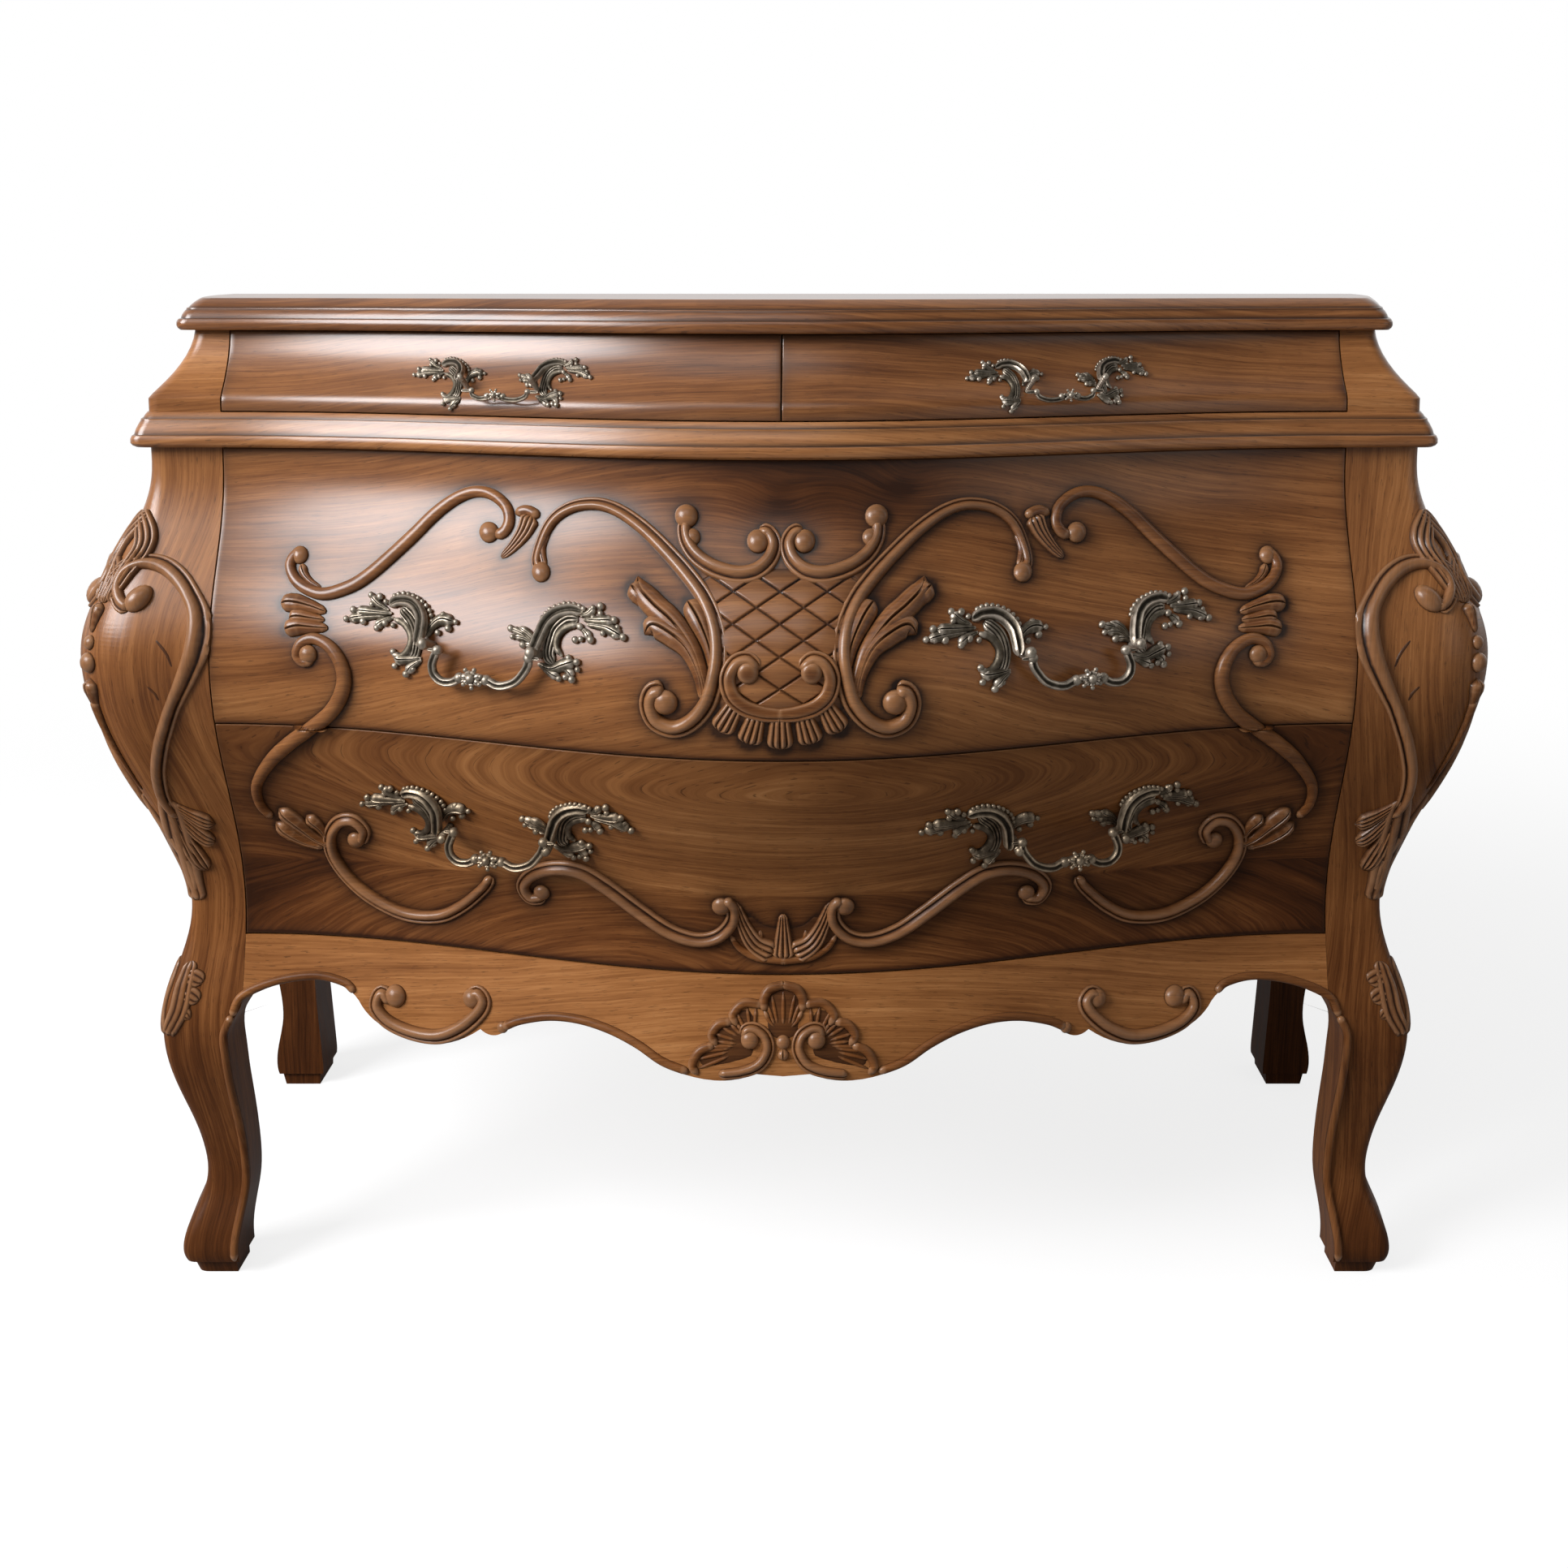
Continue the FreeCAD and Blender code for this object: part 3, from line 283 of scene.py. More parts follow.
def half_width(z):
    """Half width of the chest at its front corner, frieze included."""
    return straight_at(FRIEZE_STATIONS, z) if z > WAIST_Z else eased_at(CORNER_STATIONS, z)


def front_y(x, z):
    """Y of the front face at a place of the front view, in millimetres."""
    across = min(abs(x) / OPENING, 1.0)
    depth = half_width(z) - SETBACK + eased_at(BOW_STATIONS, z) * (1 + math.cos(math.pi * across)) / 2
    return BACK_Y - depth


SLOPE_STEP = 1.0


def on_front(x, z, lift=0.0):
    """A point on the front, raised along the face's own normal."""
    slope_x = (front_y(x + SLOPE_STEP, z) - front_y(x - SLOPE_STEP, z)) / (2 * SLOPE_STEP)
    slope_z = (front_y(x, z + SLOPE_STEP) - front_y(x, z - SLOPE_STEP)) / (2 * SLOPE_STEP)
    normal = Vector((slope_x, -1.0, slope_z)).normalized()
    return Vector((x, front_y(x, z), z)) + normal * lift


def pixel_ray(px, py):
    """Unit direction from the camera through a pixel of the photograph."""
    right = (px - PRINCIPAL_PX[0]) / FOCAL_PX
    down = (py - PRINCIPAL_PX[1]) / FOCAL_PX
    cosine, sine = math.cos(CAMERA_TILT), math.sin(CAMERA_TILT)
    return Vector((right, cosine - down * sine, -sine - down * cosine)).normalized()


FIRST_GUESS_Y = -200.0
RAY_ROUNDS = 30


def front_place(px, py):
    """X and Z where a pixel's ray meets the front, found by closing in on it."""
    ray = pixel_ray(px, py)
    y = FIRST_GUESS_Y
    for _ in range(RAY_ROUNDS):
        spot = CAMERA_MM + ray * ((y - CAMERA_MM.y) / ray.y)
        y = front_y(spot.x, spot.z)
    return spot.x, spot.z


print("front's middle", front_place(966, 800), "left seam", front_place(267, 890))

# %% [markdown]
# Wood needs a grain that runs the way each board was cut. One node group makes it for every
# board: slow tone, growth rings bent by noise, fine fibres and short dark pores. Each material
# feeds it object coordinates, turned by a Mapping node so that the grain follows the board.
# Dark wax and painted shade sit in the carving, and arrises are rubbed pale. Both come from mesh attributes.

# %% Texture helpers
def add_node(tree, kind, **values):
    """A node whose unlinked inputs are set by name."""
    node = tree.nodes.new(kind)
    for name, value in values.items():
        node.inputs[name.replace("_", " ")].default_value = value
    return node


def mix_colours(tree, factor, first, second):
    """A colour mix. Each input is a socket, a number or a colour."""
    node = tree.nodes.new("ShaderNodeMix")
    node.data_type = "RGBA"
    for index, value in ((0, factor), (6, first), (7, second)):
        feed(tree, node.inputs[index], value)
    return node.outputs[2]


def stretched_noise(tree, vector, stretch, scale, detail, roughness=0.55):
    """Noise on coordinates that are scaled by a different amount on each axis."""
    mapping = tree.nodes.new("ShaderNodeMapping")
    mapping.inputs["Scale"].default_value = stretch
    tree.links.new(vector, mapping.inputs["Vector"])
    noise = add_node(tree, "ShaderNodeTexNoise", Scale=scale, Detail=detail, Roughness=roughness)
    tree.links.new(mapping.outputs[0], noise.inputs["Vector"])
    return noise.outputs["Fac"]


def ramp(tree, factor, stops):
    """A colour ramp through (position, colour) stops."""
    node = tree.nodes.new("ShaderNodeValToRGB")
    elements = node.color_ramp.elements
    while len(elements) < len(stops):
        elements.new(0.5)
    for element, (position, colour) in zip(elements, stops):
        element.position = position
        element.color = (*colour, 1.0)
    tree.links.new(factor, node.inputs["Fac"])
    return node.outputs["Color"]


print("ways to colour:", mix_colours.__name__, stretched_noise.__name__, ramp.__name__)

# %% Wood grain group
# Each layer has its stretch along and across the grain, its detail, its roughness and its share.
GRAIN_LAYERS = (
    ("slow", (1.1, 1.0, 12.0), 2.0, 0.55, 0.34),
    ("band", (1.6, 1.0, 60.0), 3.0, 0.55, 0.26),
    ("streak", (4.0, 1.0, 210.0), 3.0, 0.55, 0.3),
    ("fibre", (18.0, 1.0, 620.0), 3.0, 0.6, 0.32),
)
CLOUD_SHARE = 0.2
MIDDLE_OF_LAYERS = 0.22
DRIFT = 0.075
WOBBLE = 0.011
DEPTH_SHARE = 0.6
PORE_START = 0.66
PORE_SHARE = 0.5
RUB_SHARE = 0.5
WAX_AND_SHADE_SHARE = 0.94
PLAIN_ROUGH = 0.3
STREAK_ROUGH = 0.14
WAX_ROUGH = 0.2
FIBRE_RELIEF = 0.5
PORE_RELIEF = 0.7
STREAK_RELIEF = 0.9
CLOUD_RELIEF = 9.0
WALNUT_STOPS = (
    (0.24, (0.028, 0.0085, 0.0025)),
    (0.4, (0.08, 0.0255, 0.0068)),
    (0.52, (0.155, 0.056, 0.016)),
    (0.64, (0.25, 0.1, 0.031)),
    (0.8, (0.39, 0.178, 0.064)),
)
PORE_COLOUR = (0.022, 0.009, 0.004, 1.0)
RUBBED_COLOUR = (0.33, 0.17, 0.08, 1.0)
# The colour of dark wax and of painted shade.
WAX_AND_SHADE_COLOUR = (0.014, 0.006, 0.0035, 1.0)


def weighted_sum(tree, *terms):
    """The sum of sockets, each times its own share."""
    total = None
    for socket, share in terms:
        term = math_node(tree, "MULTIPLY", socket, share)
        total = term if total is None else math_node(tree, "ADD", total, term)
    return total


def make_grain_group():
    """Walnut that runs along X. Bend shifts the rings across the board, which draws its figure."""
    group = bpy.data.node_groups.new("walnut_grain", "ShaderNodeTree")
    sockets = group.interface
    sockets.new_socket("Vector", in_out="INPUT", socket_type="NodeSocketVector")
    for name in ("Tone", "Patina And Shade", "Rub", "Bend"):
        sockets.new_socket(name, in_out="INPUT", socket_type="NodeSocketFloat")
    sockets.new_socket("Colour", in_out="OUTPUT", socket_type="NodeSocketColor")
    sockets.new_socket("Roughness", in_out="OUTPUT", socket_type="NodeSocketFloat")
    sockets.new_socket("Height", in_out="OUTPUT", socket_type="NodeSocketFloat")
    inputs = group.nodes.new("NodeGroupInput")
    outputs = group.nodes.new("NodeGroupOutput")
    vector = inputs.outputs["Vector"]
    drift = stretched_noise(group, vector, (1.5, 2.0, 4.0), 1.0, 2.0)
    wobble = stretched_noise(group, vector, (7.0, 9.0, 22.0), 1.0, 2.0)
    parts = group.nodes.new("ShaderNodeSeparateXYZ")
    group.links.new(vector, parts.inputs[0])
    bent = weighted_sum(group, (parts.outputs["Z"], 1.0), (parts.outputs["Y"], DEPTH_SHARE),
                        (inputs.outputs["Bend"], 1.0), (drift, DRIFT), (wobble, WOBBLE))
    grain = group.nodes.new("ShaderNodeCombineXYZ")
    group.links.new(parts.outputs["X"], grain.inputs["X"])
    group.links.new(bent, grain.inputs["Z"])
    lines = grain.outputs[0]
    layers = {}
    for name, stretch, detail, roughness, _ in GRAIN_LAYERS:
        layers[name] = stretched_noise(group, lines, stretch, 1.0, detail, roughness)
    pores = stretched_noise(group, lines, (70.0, 1.0, 1300.0), 1.0, 1.0)
    cloud = stretched_noise(group, vector, (9.0, 9.0, 14.0), 1.0, 3.0)
    pore_mask = math_node(group, "GREATER_THAN", pores, PORE_START)
    shares = [(layers[name], share) for name, _, _, _, share in GRAIN_LAYERS]
    mixed = weighted_sum(group, *shares, (cloud, CLOUD_SHARE), (inputs.outputs["Tone"], 1.0))
    mixed = math_node(group, "SUBTRACT", mixed, MIDDLE_OF_LAYERS)
    colour = ramp(group, mixed, WALNUT_STOPS)
    dark = math_node(group, "MULTIPLY", pore_mask, PORE_SHARE)
    colour = mix_colours(group, dark, colour, PORE_COLOUR)
    rubbed = math_node(group, "MULTIPLY", inputs.outputs["Rub"], RUB_SHARE)
    colour = mix_colours(group, rubbed, colour, RUBBED_COLOUR)
    # Dark wax and painted shade from the attribute darken the colour here, patchy with the cloud.
    patchy = math_node(group, "ADD", cloud, 0.5)
    darkening = math_node(group, "MULTIPLY", inputs.outputs["Patina And Shade"], patchy)
    waxed_and_shaded = math_node(group, "MULTIPLY", darkening, WAX_AND_SHADE_SHARE, True)
    colour = mix_colours(group, waxed_and_shaded, colour, WAX_AND_SHADE_COLOUR)
    rough = weighted_sum(group, (layers["streak"], STREAK_ROUGH), (inputs.outputs["Patina And Shade"], WAX_ROUGH))
    rough = math_node(group, "ADD", rough, PLAIN_ROUGH)
    height = weighted_sum(group, (layers["fibre"], FIBRE_RELIEF), (pore_mask, -PORE_RELIEF),
                          (layers["streak"], STREAK_RELIEF), (cloud, CLOUD_RELIEF))
    group.links.new(colour, outputs.inputs["Colour"])
    group.links.new(rough, outputs.inputs["Roughness"])
    group.links.new(height, outputs.inputs["Height"])
    return group


grain_group = make_grain_group()
print("group", grain_group.name)

# %% [markdown]
# The wax is thick where hands and cloths reach and nearly gone lower down. A coat over the
# wood shows that. Its weight follows the height, so the upper drawers shine and the legs stay
# dull, and only crests that are rubbed bright keep some polish below the belly.

# %% Wax polish group
DULL = 0.03
DULL_UP_TO_Z = 0.46
POLISHED_FROM_Z = 0.62


def make_polish_group():
    """How much wax is left: full above the belly, nearly none below it."""
    group = bpy.data.node_groups.new("wax_polish", "ShaderNodeTree")
    group.interface.new_socket("Vector", in_out="INPUT", socket_type="NodeSocketVector")
    group.interface.new_socket("Polish", in_out="INPUT", socket_type="NodeSocketFloat")
    group.interface.new_socket("Coat", in_out="OUTPUT", socket_type="NodeSocketFloat")
    inputs = group.nodes.new("NodeGroupInput")
    outputs = group.nodes.new("NodeGroupOutput")
    parts = group.nodes.new("ShaderNodeSeparateXYZ")
    group.links.new(inputs.outputs["Vector"], parts.inputs[0])
    height = add_node(group, "ShaderNodeMapRange", From_Min=DULL_UP_TO_Z, From_Max=POLISHED_FROM_Z,
                      To_Min=DULL)
    height.interpolation_type = "SMOOTHSTEP"
    group.links.new(parts.outputs["Z"], height.inputs["Value"])
    group.links.new(inputs.outputs["Polish"], height.inputs["To Max"])
    group.links.new(height.outputs["Result"], outputs.inputs["Coat"])
    return group


polish_group = make_polish_group()
print("group", polish_group.name)

# %% Walnut materials
CREST_POLISH = 0.6
COAT_ROUGHNESS = 0.29
WOOD_IOR = 1.45
WOOD_SPECULAR = 0.08
GRAIN_BUMP = 0.12
GRAIN_HEIGHT = 0.0006


def attribute_value(tree, name):
    node = tree.nodes.new("ShaderNodeAttribute")
    node.attribute_name = name
    return node.outputs["Fac"]


def add_bump(tree, shader, height, strength, distance):
    """Fine relief from a height value."""
    bump = tree.nodes.new("ShaderNodeBump")
    bump.inputs["Strength"].default_value = strength
    bump.inputs["Distance"].default_value = distance
    tree.links.new(height, bump.inputs["Height"])
    tree.links.new(bump.outputs[0], shader.inputs["Normal"])


def make_walnut(name, turn, shift, tone, polish=0.55):
    """Waxed walnut whose grain is turned to run along a board."""
    material, tree, output = new_material(name)
    shader = tree.nodes.new("ShaderNodeBsdfPrincipled")
    shader.inputs["Coat Roughness"].default_value = COAT_ROUGHNESS
    shader.inputs["IOR"].default_value = WOOD_IOR
    shader.inputs["Specular IOR Level"].default_value = WOOD_SPECULAR
    place = tree.nodes.new("ShaderNodeTexCoord")
    mapping = tree.nodes.new("ShaderNodeMapping")
    mapping.inputs["Rotation"].default_value = turn
    mapping.inputs["Location"].default_value = shift
    tree.links.new(place.outputs["Object"], mapping.inputs["Vector"])
    grain = tree.nodes.new("ShaderNodeGroup")
    grain.node_tree = grain_group
    tree.links.new(mapping.outputs[0], grain.inputs["Vector"])
    wax = tree.nodes.new("ShaderNodeGroup")
    wax.node_tree = polish_group
    wax.inputs["Polish"].default_value = polish
    tree.links.new(place.outputs["Object"], wax.inputs["Vector"])
    crest = math_node(tree, "MULTIPLY", attribute_value(tree, "rub"), CREST_POLISH)
    tree.links.new(math_node(tree, "MAXIMUM", wax.outputs["Coat"], crest), shader.inputs["Coat Weight"])
    shade = math_node(tree, "ADD", attribute_value(tree, "tone"), tone)
    tree.links.new(shade, grain.inputs["Tone"])
    tree.links.new(attribute_value(tree, "patina_and_shade"), grain.inputs["Patina And Shade"])
    tree.links.new(attribute_value(tree, "rub"), grain.inputs["Rub"])
    tree.links.new(attribute_value(tree, "bend"), grain.inputs["Bend"])
    add_bump(tree, shader, grain.outputs["Height"], GRAIN_BUMP, GRAIN_HEIGHT)
    tree.links.new(grain.outputs["Colour"], shader.inputs["Base Color"])
    tree.links.new(grain.outputs["Roughness"], shader.inputs["Roughness"])
    tree.links.new(shader.outputs[0], output.inputs["Surface"])
    return material


ALONG_X = (0.0, 0.0, 0.0)
UPRIGHT = (0.0, math.radians(90.0), 0.0)
ALONG_Y = (0.0, 0.0, math.radians(90.0))
# Each wood has its grain's turn, its place in the log, its tone and its polish above the belly.
# The case wood's tone is raised as painted light on the apron, which gets little light from below.
wood_case = make_walnut("walnut_case", ALONG_X, (0.0, 0.0, 0.3), 0.15, 0.5)
wood_upright = make_walnut("walnut_upright", UPRIGHT, (0.4, 0.1, 0.0), 0.03, 0.6)
wood_rear = make_walnut("walnut_rear_leg", UPRIGHT, (2.4, 0.3, 0.0), -0.15, 0.2)
wood_side = make_walnut("walnut_side", ALONG_Y, (0.2, 0.0, 0.7), 0.0, 0.4)
wood_middle = make_walnut("walnut_middle_drawer", ALONG_X, (0.13, 0.0, 0.0), 0.06, 0.7)
wood_lower = make_walnut("walnut_lower_drawer", ALONG_X, (1.7, 0.0, 0.0), 0.05, 0.2)
wood_frieze = make_walnut("walnut_frieze", ALONG_X, (3.1, 0.0, 0.1), 0.06, 1.0)
wood_top = make_walnut("walnut_top", ALONG_X, (5.0, 0.3, 0.0), 0.02, 1.0)
# The mouldings' tones are raised as painted light, for the window light that they catch.
wood_bead = make_walnut("walnut_moulding", ALONG_X, (6.0, 0.1, 0.2), 0.13, 0.9)
wood_side_bead = make_walnut("walnut_side_moulding", ALONG_Y, (6.5, 0.2, 0.4), 0.1, 0.9)
print("woods", [material.name for material in bpy.data.materials])

# %% [markdown]
# Drawer sides, bottoms and the back are sawn from a pale cheap wood and never waxed, as on most
# such chests. Two turns of one material let the grain run along each board.

# %% Plain drawer wood
PLAIN_STOPS = ((0.3, (0.3, 0.175, 0.085)), (0.5, (0.46, 0.3, 0.16)), (0.7, (0.58, 0.42, 0.25)))


def make_plain_wood(name, stretch):
    """Pale sawn wood that only shows with a drawer open, with its grain along the axis stretched least."""
    material, tree, output = new_material(name)
    shader = tree.nodes.new("ShaderNodeBsdfPrincipled")
    shader.inputs["IOR"].default_value = WOOD_IOR
    place = tree.nodes.new("ShaderNodeTexCoord")
    fibre = stretched_noise(tree, place.outputs["Object"], stretch, 1.0, 4.0)
    slow = stretched_noise(tree, place.outputs["Object"], stretch, 0.08, 3.0)
    colour = ramp(tree, weighted_sum(tree, (fibre, 0.5), (slow, 0.5)), PLAIN_STOPS)
    rough = math_node(tree, "ADD", math_node(tree, "MULTIPLY", fibre, 0.2), 0.5)
    add_bump(tree, shader, fibre, 0.25, 0.0005)
    tree.links.new(colour, shader.inputs["Base Color"])
    tree.links.new(rough, shader.inputs["Roughness"])
    tree.links.new(shader.outputs[0], output.inputs["Surface"])
    return material


wood_plain = make_plain_wood("plain_wood_deep", (90.0, 4.0, 90.0))
wood_across = make_plain_wood("plain_wood_across", (4.0, 90.0, 90.0))
print("plain woods", wood_plain.name, wood_across.name)

# %% [markdown]
# The pulls are cast brass that has gone brown in the hollows and is bare on its crests. The same
# two mesh attributes as on the wood steer one colour ramp. The lower drawer's pulls are browner.

# %% Brass and steel
METAL_STOPS = (0.08, 0.34, 0.72)
METAL_BUMP = 0.35
METAL_HEIGHT = 0.0004
METALLIC = 0.85


def make_brass(name, dark, mid, bright):
    """Cast brass with patina: dark in the hollows, bare on the high spots."""
    material, tree, output = new_material(name)
    shader = tree.nodes.new("ShaderNodeBsdfPrincipled")
    place = tree.nodes.new("ShaderNodeTexCoord")
    cloud = stretched_noise(tree, place.outputs["Object"], (1.0, 1.0, 1.0), 160.0, 4.0)
    fine = stretched_noise(tree, place.outputs["Object"], (1.0, 1.0, 1.0), 700.0, 3.0)
    hollow = attribute_value(tree, "patina_and_shade")
    rub = attribute_value(tree, "rub")
    mixed = weighted_sum(tree, (cloud, 0.6), (rub, 0.45), (hollow, -0.4))
    colour = ramp(tree, mixed, list(zip(METAL_STOPS, (dark, mid, bright))))
    rough = math_node(tree, "ADD", weighted_sum(tree, (fine, 0.2), (rub, -0.12)), 0.42)
    add_bump(tree, shader, fine, METAL_BUMP, METAL_HEIGHT)
    tree.links.new(colour, shader.inputs["Base Color"])
    tree.links.new(rough, shader.inputs["Roughness"])
    shader.inputs["Metallic"].default_value = METALLIC
    tree.links.new(shader.outputs[0], output.inputs["Surface"])
    return material


brass_grey = make_brass("brass_grey_brown", (0.028, 0.022, 0.015), (0.13, 0.108, 0.078), (0.52, 0.45, 0.37))
brass_brown = make_brass("brass_brown", (0.022, 0.015, 0.009), (0.1, 0.074, 0.048), (0.42, 0.33, 0.23))
steel = make_brass("bolt_steel", (0.2, 0.2, 0.2), (0.4, 0.4, 0.4), (0.6, 0.6, 0.6))
print("metals", brass_grey.name, brass_brown.name, steel.name)

# %% [markdown]
# The CAD mesh is right in size but faceted in shading. A merged copy of each case piece is
# smoothed by angle and its normals weighted by area, so long swelling faces shine evenly.
# Mouldings also get a mesh attribute for the old wax and painted shade in their inner corners.

# %% Smooth copies
WELD = 0.00002
SMOOTH_CASE = 32.0


def set_values(mesh, name, values):
    layer = mesh.attributes.get(name) or mesh.attributes.new(name, "FLOAT", "POINT")
    layer.data.foreach_set("value", values)


def edit_whole(piece, *steps):
    """Runs edit-mode steps, each on the whole of a piece."""
    deselect_all()
    piece.select_set(True)
    bpy.context.view_layer.objects.active = piece
    bpy.ops.object.mode_set(mode="EDIT")
    for step in steps:
        bpy.ops.mesh.select_all(action="SELECT")
        step()
    bpy.ops.object.mode_set(mode="OBJECT")


def weld(reach=WELD):
    bpy.ops.mesh.remove_doubles(threshold=reach)


def turn_outward():
    bpy.ops.mesh.normals_make_consistent(inside=False)


def smooth_copy(node_name, body, material):
    """A merged, smooth-shaded copy that stands for a CAD node."""
    source = nodes[node_name]
    mesh = source.data.copy()
    piece = bpy.data.objects.new(node_name + "_wood", mesh)
    scene.collection.objects.link(piece)
    edit_whole(piece, weld)
    bpy.ops.mesh.customdata_custom_splitnormals_clear()
    bpy.ops.object.shade_smooth_by_angle(angle=math.radians(SMOOTH_CASE))
    weighted = piece.modifiers.new("weighted", "WEIGHTED_NORMAL")
    weighted.keep_sharp = True
    bpy.ops.object.modifier_apply(modifier=weighted.name)
    mesh.materials.clear()
    mesh.materials.append(material)
    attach(piece, body)
    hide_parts(node_name)
    return piece


QUIRK_ANGLE = math.radians(14)
QUIRK_WAX_AND_SHADE = 0.9
QUIRK_GAIN = 1.3


def wax_and_shade_quirks(piece):
    """Old wax and painted shade along the inner corners of a moulding."""
    mesh = piece.data
    shape = bmesh.new()
    shape.from_mesh(mesh)
    wax = [0.0] * len(mesh.vertices)
    for edge in shape.edges:
        turn = -edge.calc_face_angle_signed(0.0)
        if turn > QUIRK_ANGLE:
            for vertex in edge.verts:
                wax[vertex.index] = max(wax[vertex.index], min(QUIRK_WAX_AND_SHADE, QUIRK_GAIN * turn))
    shape.free()
    set_values(mesh, "patina_and_shade", wax)


# Painted shade toward the foot and painted light in the post, as tones over the height.
LEG_PAINTED_LIGHT_AND_SHADE = ((0.0, -0.14), (70.0, -0.1), (240.0, -0.08), (330.0, 0.0), (520.0, 0.0), (640.0, 0.09))


def paint_leg_light_and_shade(piece):
    """A leg is darker toward its foot and paler in its post: painted shade below, painted light above."""
    mesh = piece.data
    set_values(mesh, "tone", [straight_at(LEG_PAINTED_LIGHT_AND_SHADE, vertex.co.z / MM) for vertex in mesh.vertices])


# %% Case pieces
CASE_WOODS = (
    (wood_upright, ("front_leg_right", "front_leg_left")),
    (wood_rear, ("rear_leg_right", "rear_leg_left")),
    (wood_side, ("side_panel_right", "side_panel_left", "side_apron_right", "side_apron_left",
                 "frieze_side_right", "frieze_side_left")),
    (wood_bead, ("waist_moulding_front",)),
    (wood_side_bead, ("waist_moulding_right", "waist_moulding_left")),
    (wood_case, ("front_apron", "frieze_corner_right", "frieze_corner_left")),
    (wood_top, ("top_board",)),
)
for material, names in CASE_WOODS:
    for name in names:
        piece = smooth_copy(name, "case", material)
        if "moulding" in name or name == "top_board":
            wax_and_shade_quirks(piece)
        if name.startswith("front_leg"):
            paint_leg_light_and_shade(piece)
        print(piece.name, "is", material.name)

# %% [markdown]
# What no visible piece replaces is shown by the CAD's own mesh: the drawer boxes, the back and the
# bolts. They are plain sawn boards and bars, so a material alone is enough. Its name tells which.

# %% Materials on the CAD nodes
def material_of(name):
    """What a CAD node is made of, told from its name."""
    if name.endswith("_front"):
        return wood_frieze if "small" in name else wood_middle if "middle" in name else wood_lower
    if "bolts" in name:
        return steel
    if "pull" in name:
        return brass_brown if name.startswith("lower") else brass_grey
    if name.endswith(("_back", "_panel", "_board", "divider")):
        return wood_across
    return wood_plain


for name, node in nodes.items():
    for slot in node.material_slots:
        slot.material = material_of(name)
print("materials on", len(nodes), "nodes")

# %% [markdown]
# Carvings are drawn flat first. A stroke is a curve whose section is a carver's cut: a rope, a
# stepped scroll or a veined leaf. The curve becomes a mesh, and every vertex is then laid on the
# swelling wood by one formula, so a scroll follows the bow as the real one does.

# %% Smooth paths
STROKE_STEP = 1.8


def smooth_path(points):
    """Points at even steps on a Catmull-Rom curve through the given ones."""
    knots = [Vector(knot) for knot in points]
    knots = [knots[0] * 2 - knots[1]] + knots + [knots[-1] * 2 - knots[-2]]
    dense = []
    for before, start, end, after in zip(knots, knots[1:], knots[2:], knots[3:]):
        count = max(3, int((end - start).length / STROKE_STEP * 3))
        for index in range(count):
            t = index / count
            spot = start * 2 + (end - before) * t
            spot += (before * 2 - start * 5 + end * 4 - after) * t * t
            spot += (start * 3 - before - end * 3 + after) * t * t * t
            dense.append(spot / 2)
    dense.append(knots[-2])
    path = [dense[0]]
    for spot in dense[1:-1]:
        if (spot - path[-1]).length >= STROKE_STEP:
            path.append(spot)
    if (dense[-1] - path[-1]).length < STROKE_STEP / 2 and len(path) > 2:
        path.pop()
    path.append(dense[-1])
    return path


# %% [markdown]
# Each section stands for one gouge or knife. It is an outline that a curve carries along, and it
# starts below the wood, so a stroke never floats where the surface bends away.

# %% Sections
SINK = -0.4
ARCH_STEPS = 12
LEAF_STEPS = 14


def closed(points):
    """An outline from a left to a right foot, both sunk in the wood."""
    return [(-1.0, SINK), *points, (1.0, SINK)]


def section(name, points):
    """A closed outline used as the section of strokes. One unit is half a stroke's width."""
    data = bpy.data.curves.new(name, "CURVE")
    data.dimensions = "2D"
    spline = data.splines.new("POLY")
    spline.points.add(len(points) - 1)
    for point, (across, up) in zip(spline.points, points):
        point.co = (across * MM, up * MM, 0.0, 1.0)
    spline.use_cyclic_u = True
    outline = bpy.data.objects.new(name, data)
    scene.collection.objects.link(outline)
    return outline


def arch(height):
    """A plain rounded section."""
    angles = [math.pi * (1 - index / ARCH_STEPS) for index in range(ARCH_STEPS + 1)]
    return closed([(math.cos(angle), height * math.sin(angle) ** 0.8) for angle in angles])


def veined(height, vein):
    """A plump leaf with one knife cut along its middle."""
    points = []
    for index in range(LEAF_STEPS + 1):
        across = -1 + 2 * index / LEAF_STEPS
        up = height * (1 - abs(across) ** 2.4) ** 0.62
        points.append((across, up - vein * max(0.0, 1 - abs(across) / 0.15)))
    return closed(points)


def ribbed(height, ribs):
    """A flat lobe cut into narrow ribs."""
    points = []
    count = ribs * 4
    for index in range(count + 1):
        across = -1 + 2 * index / count
        crown = height * (1 - abs(across) ** 4) ** 0.5
        rib = abs(math.sin(math.pi * ribs * (across + 1) / 2))
        points.append((across, crown * (0.62 + 0.38 * rib)))
    return closed(points)


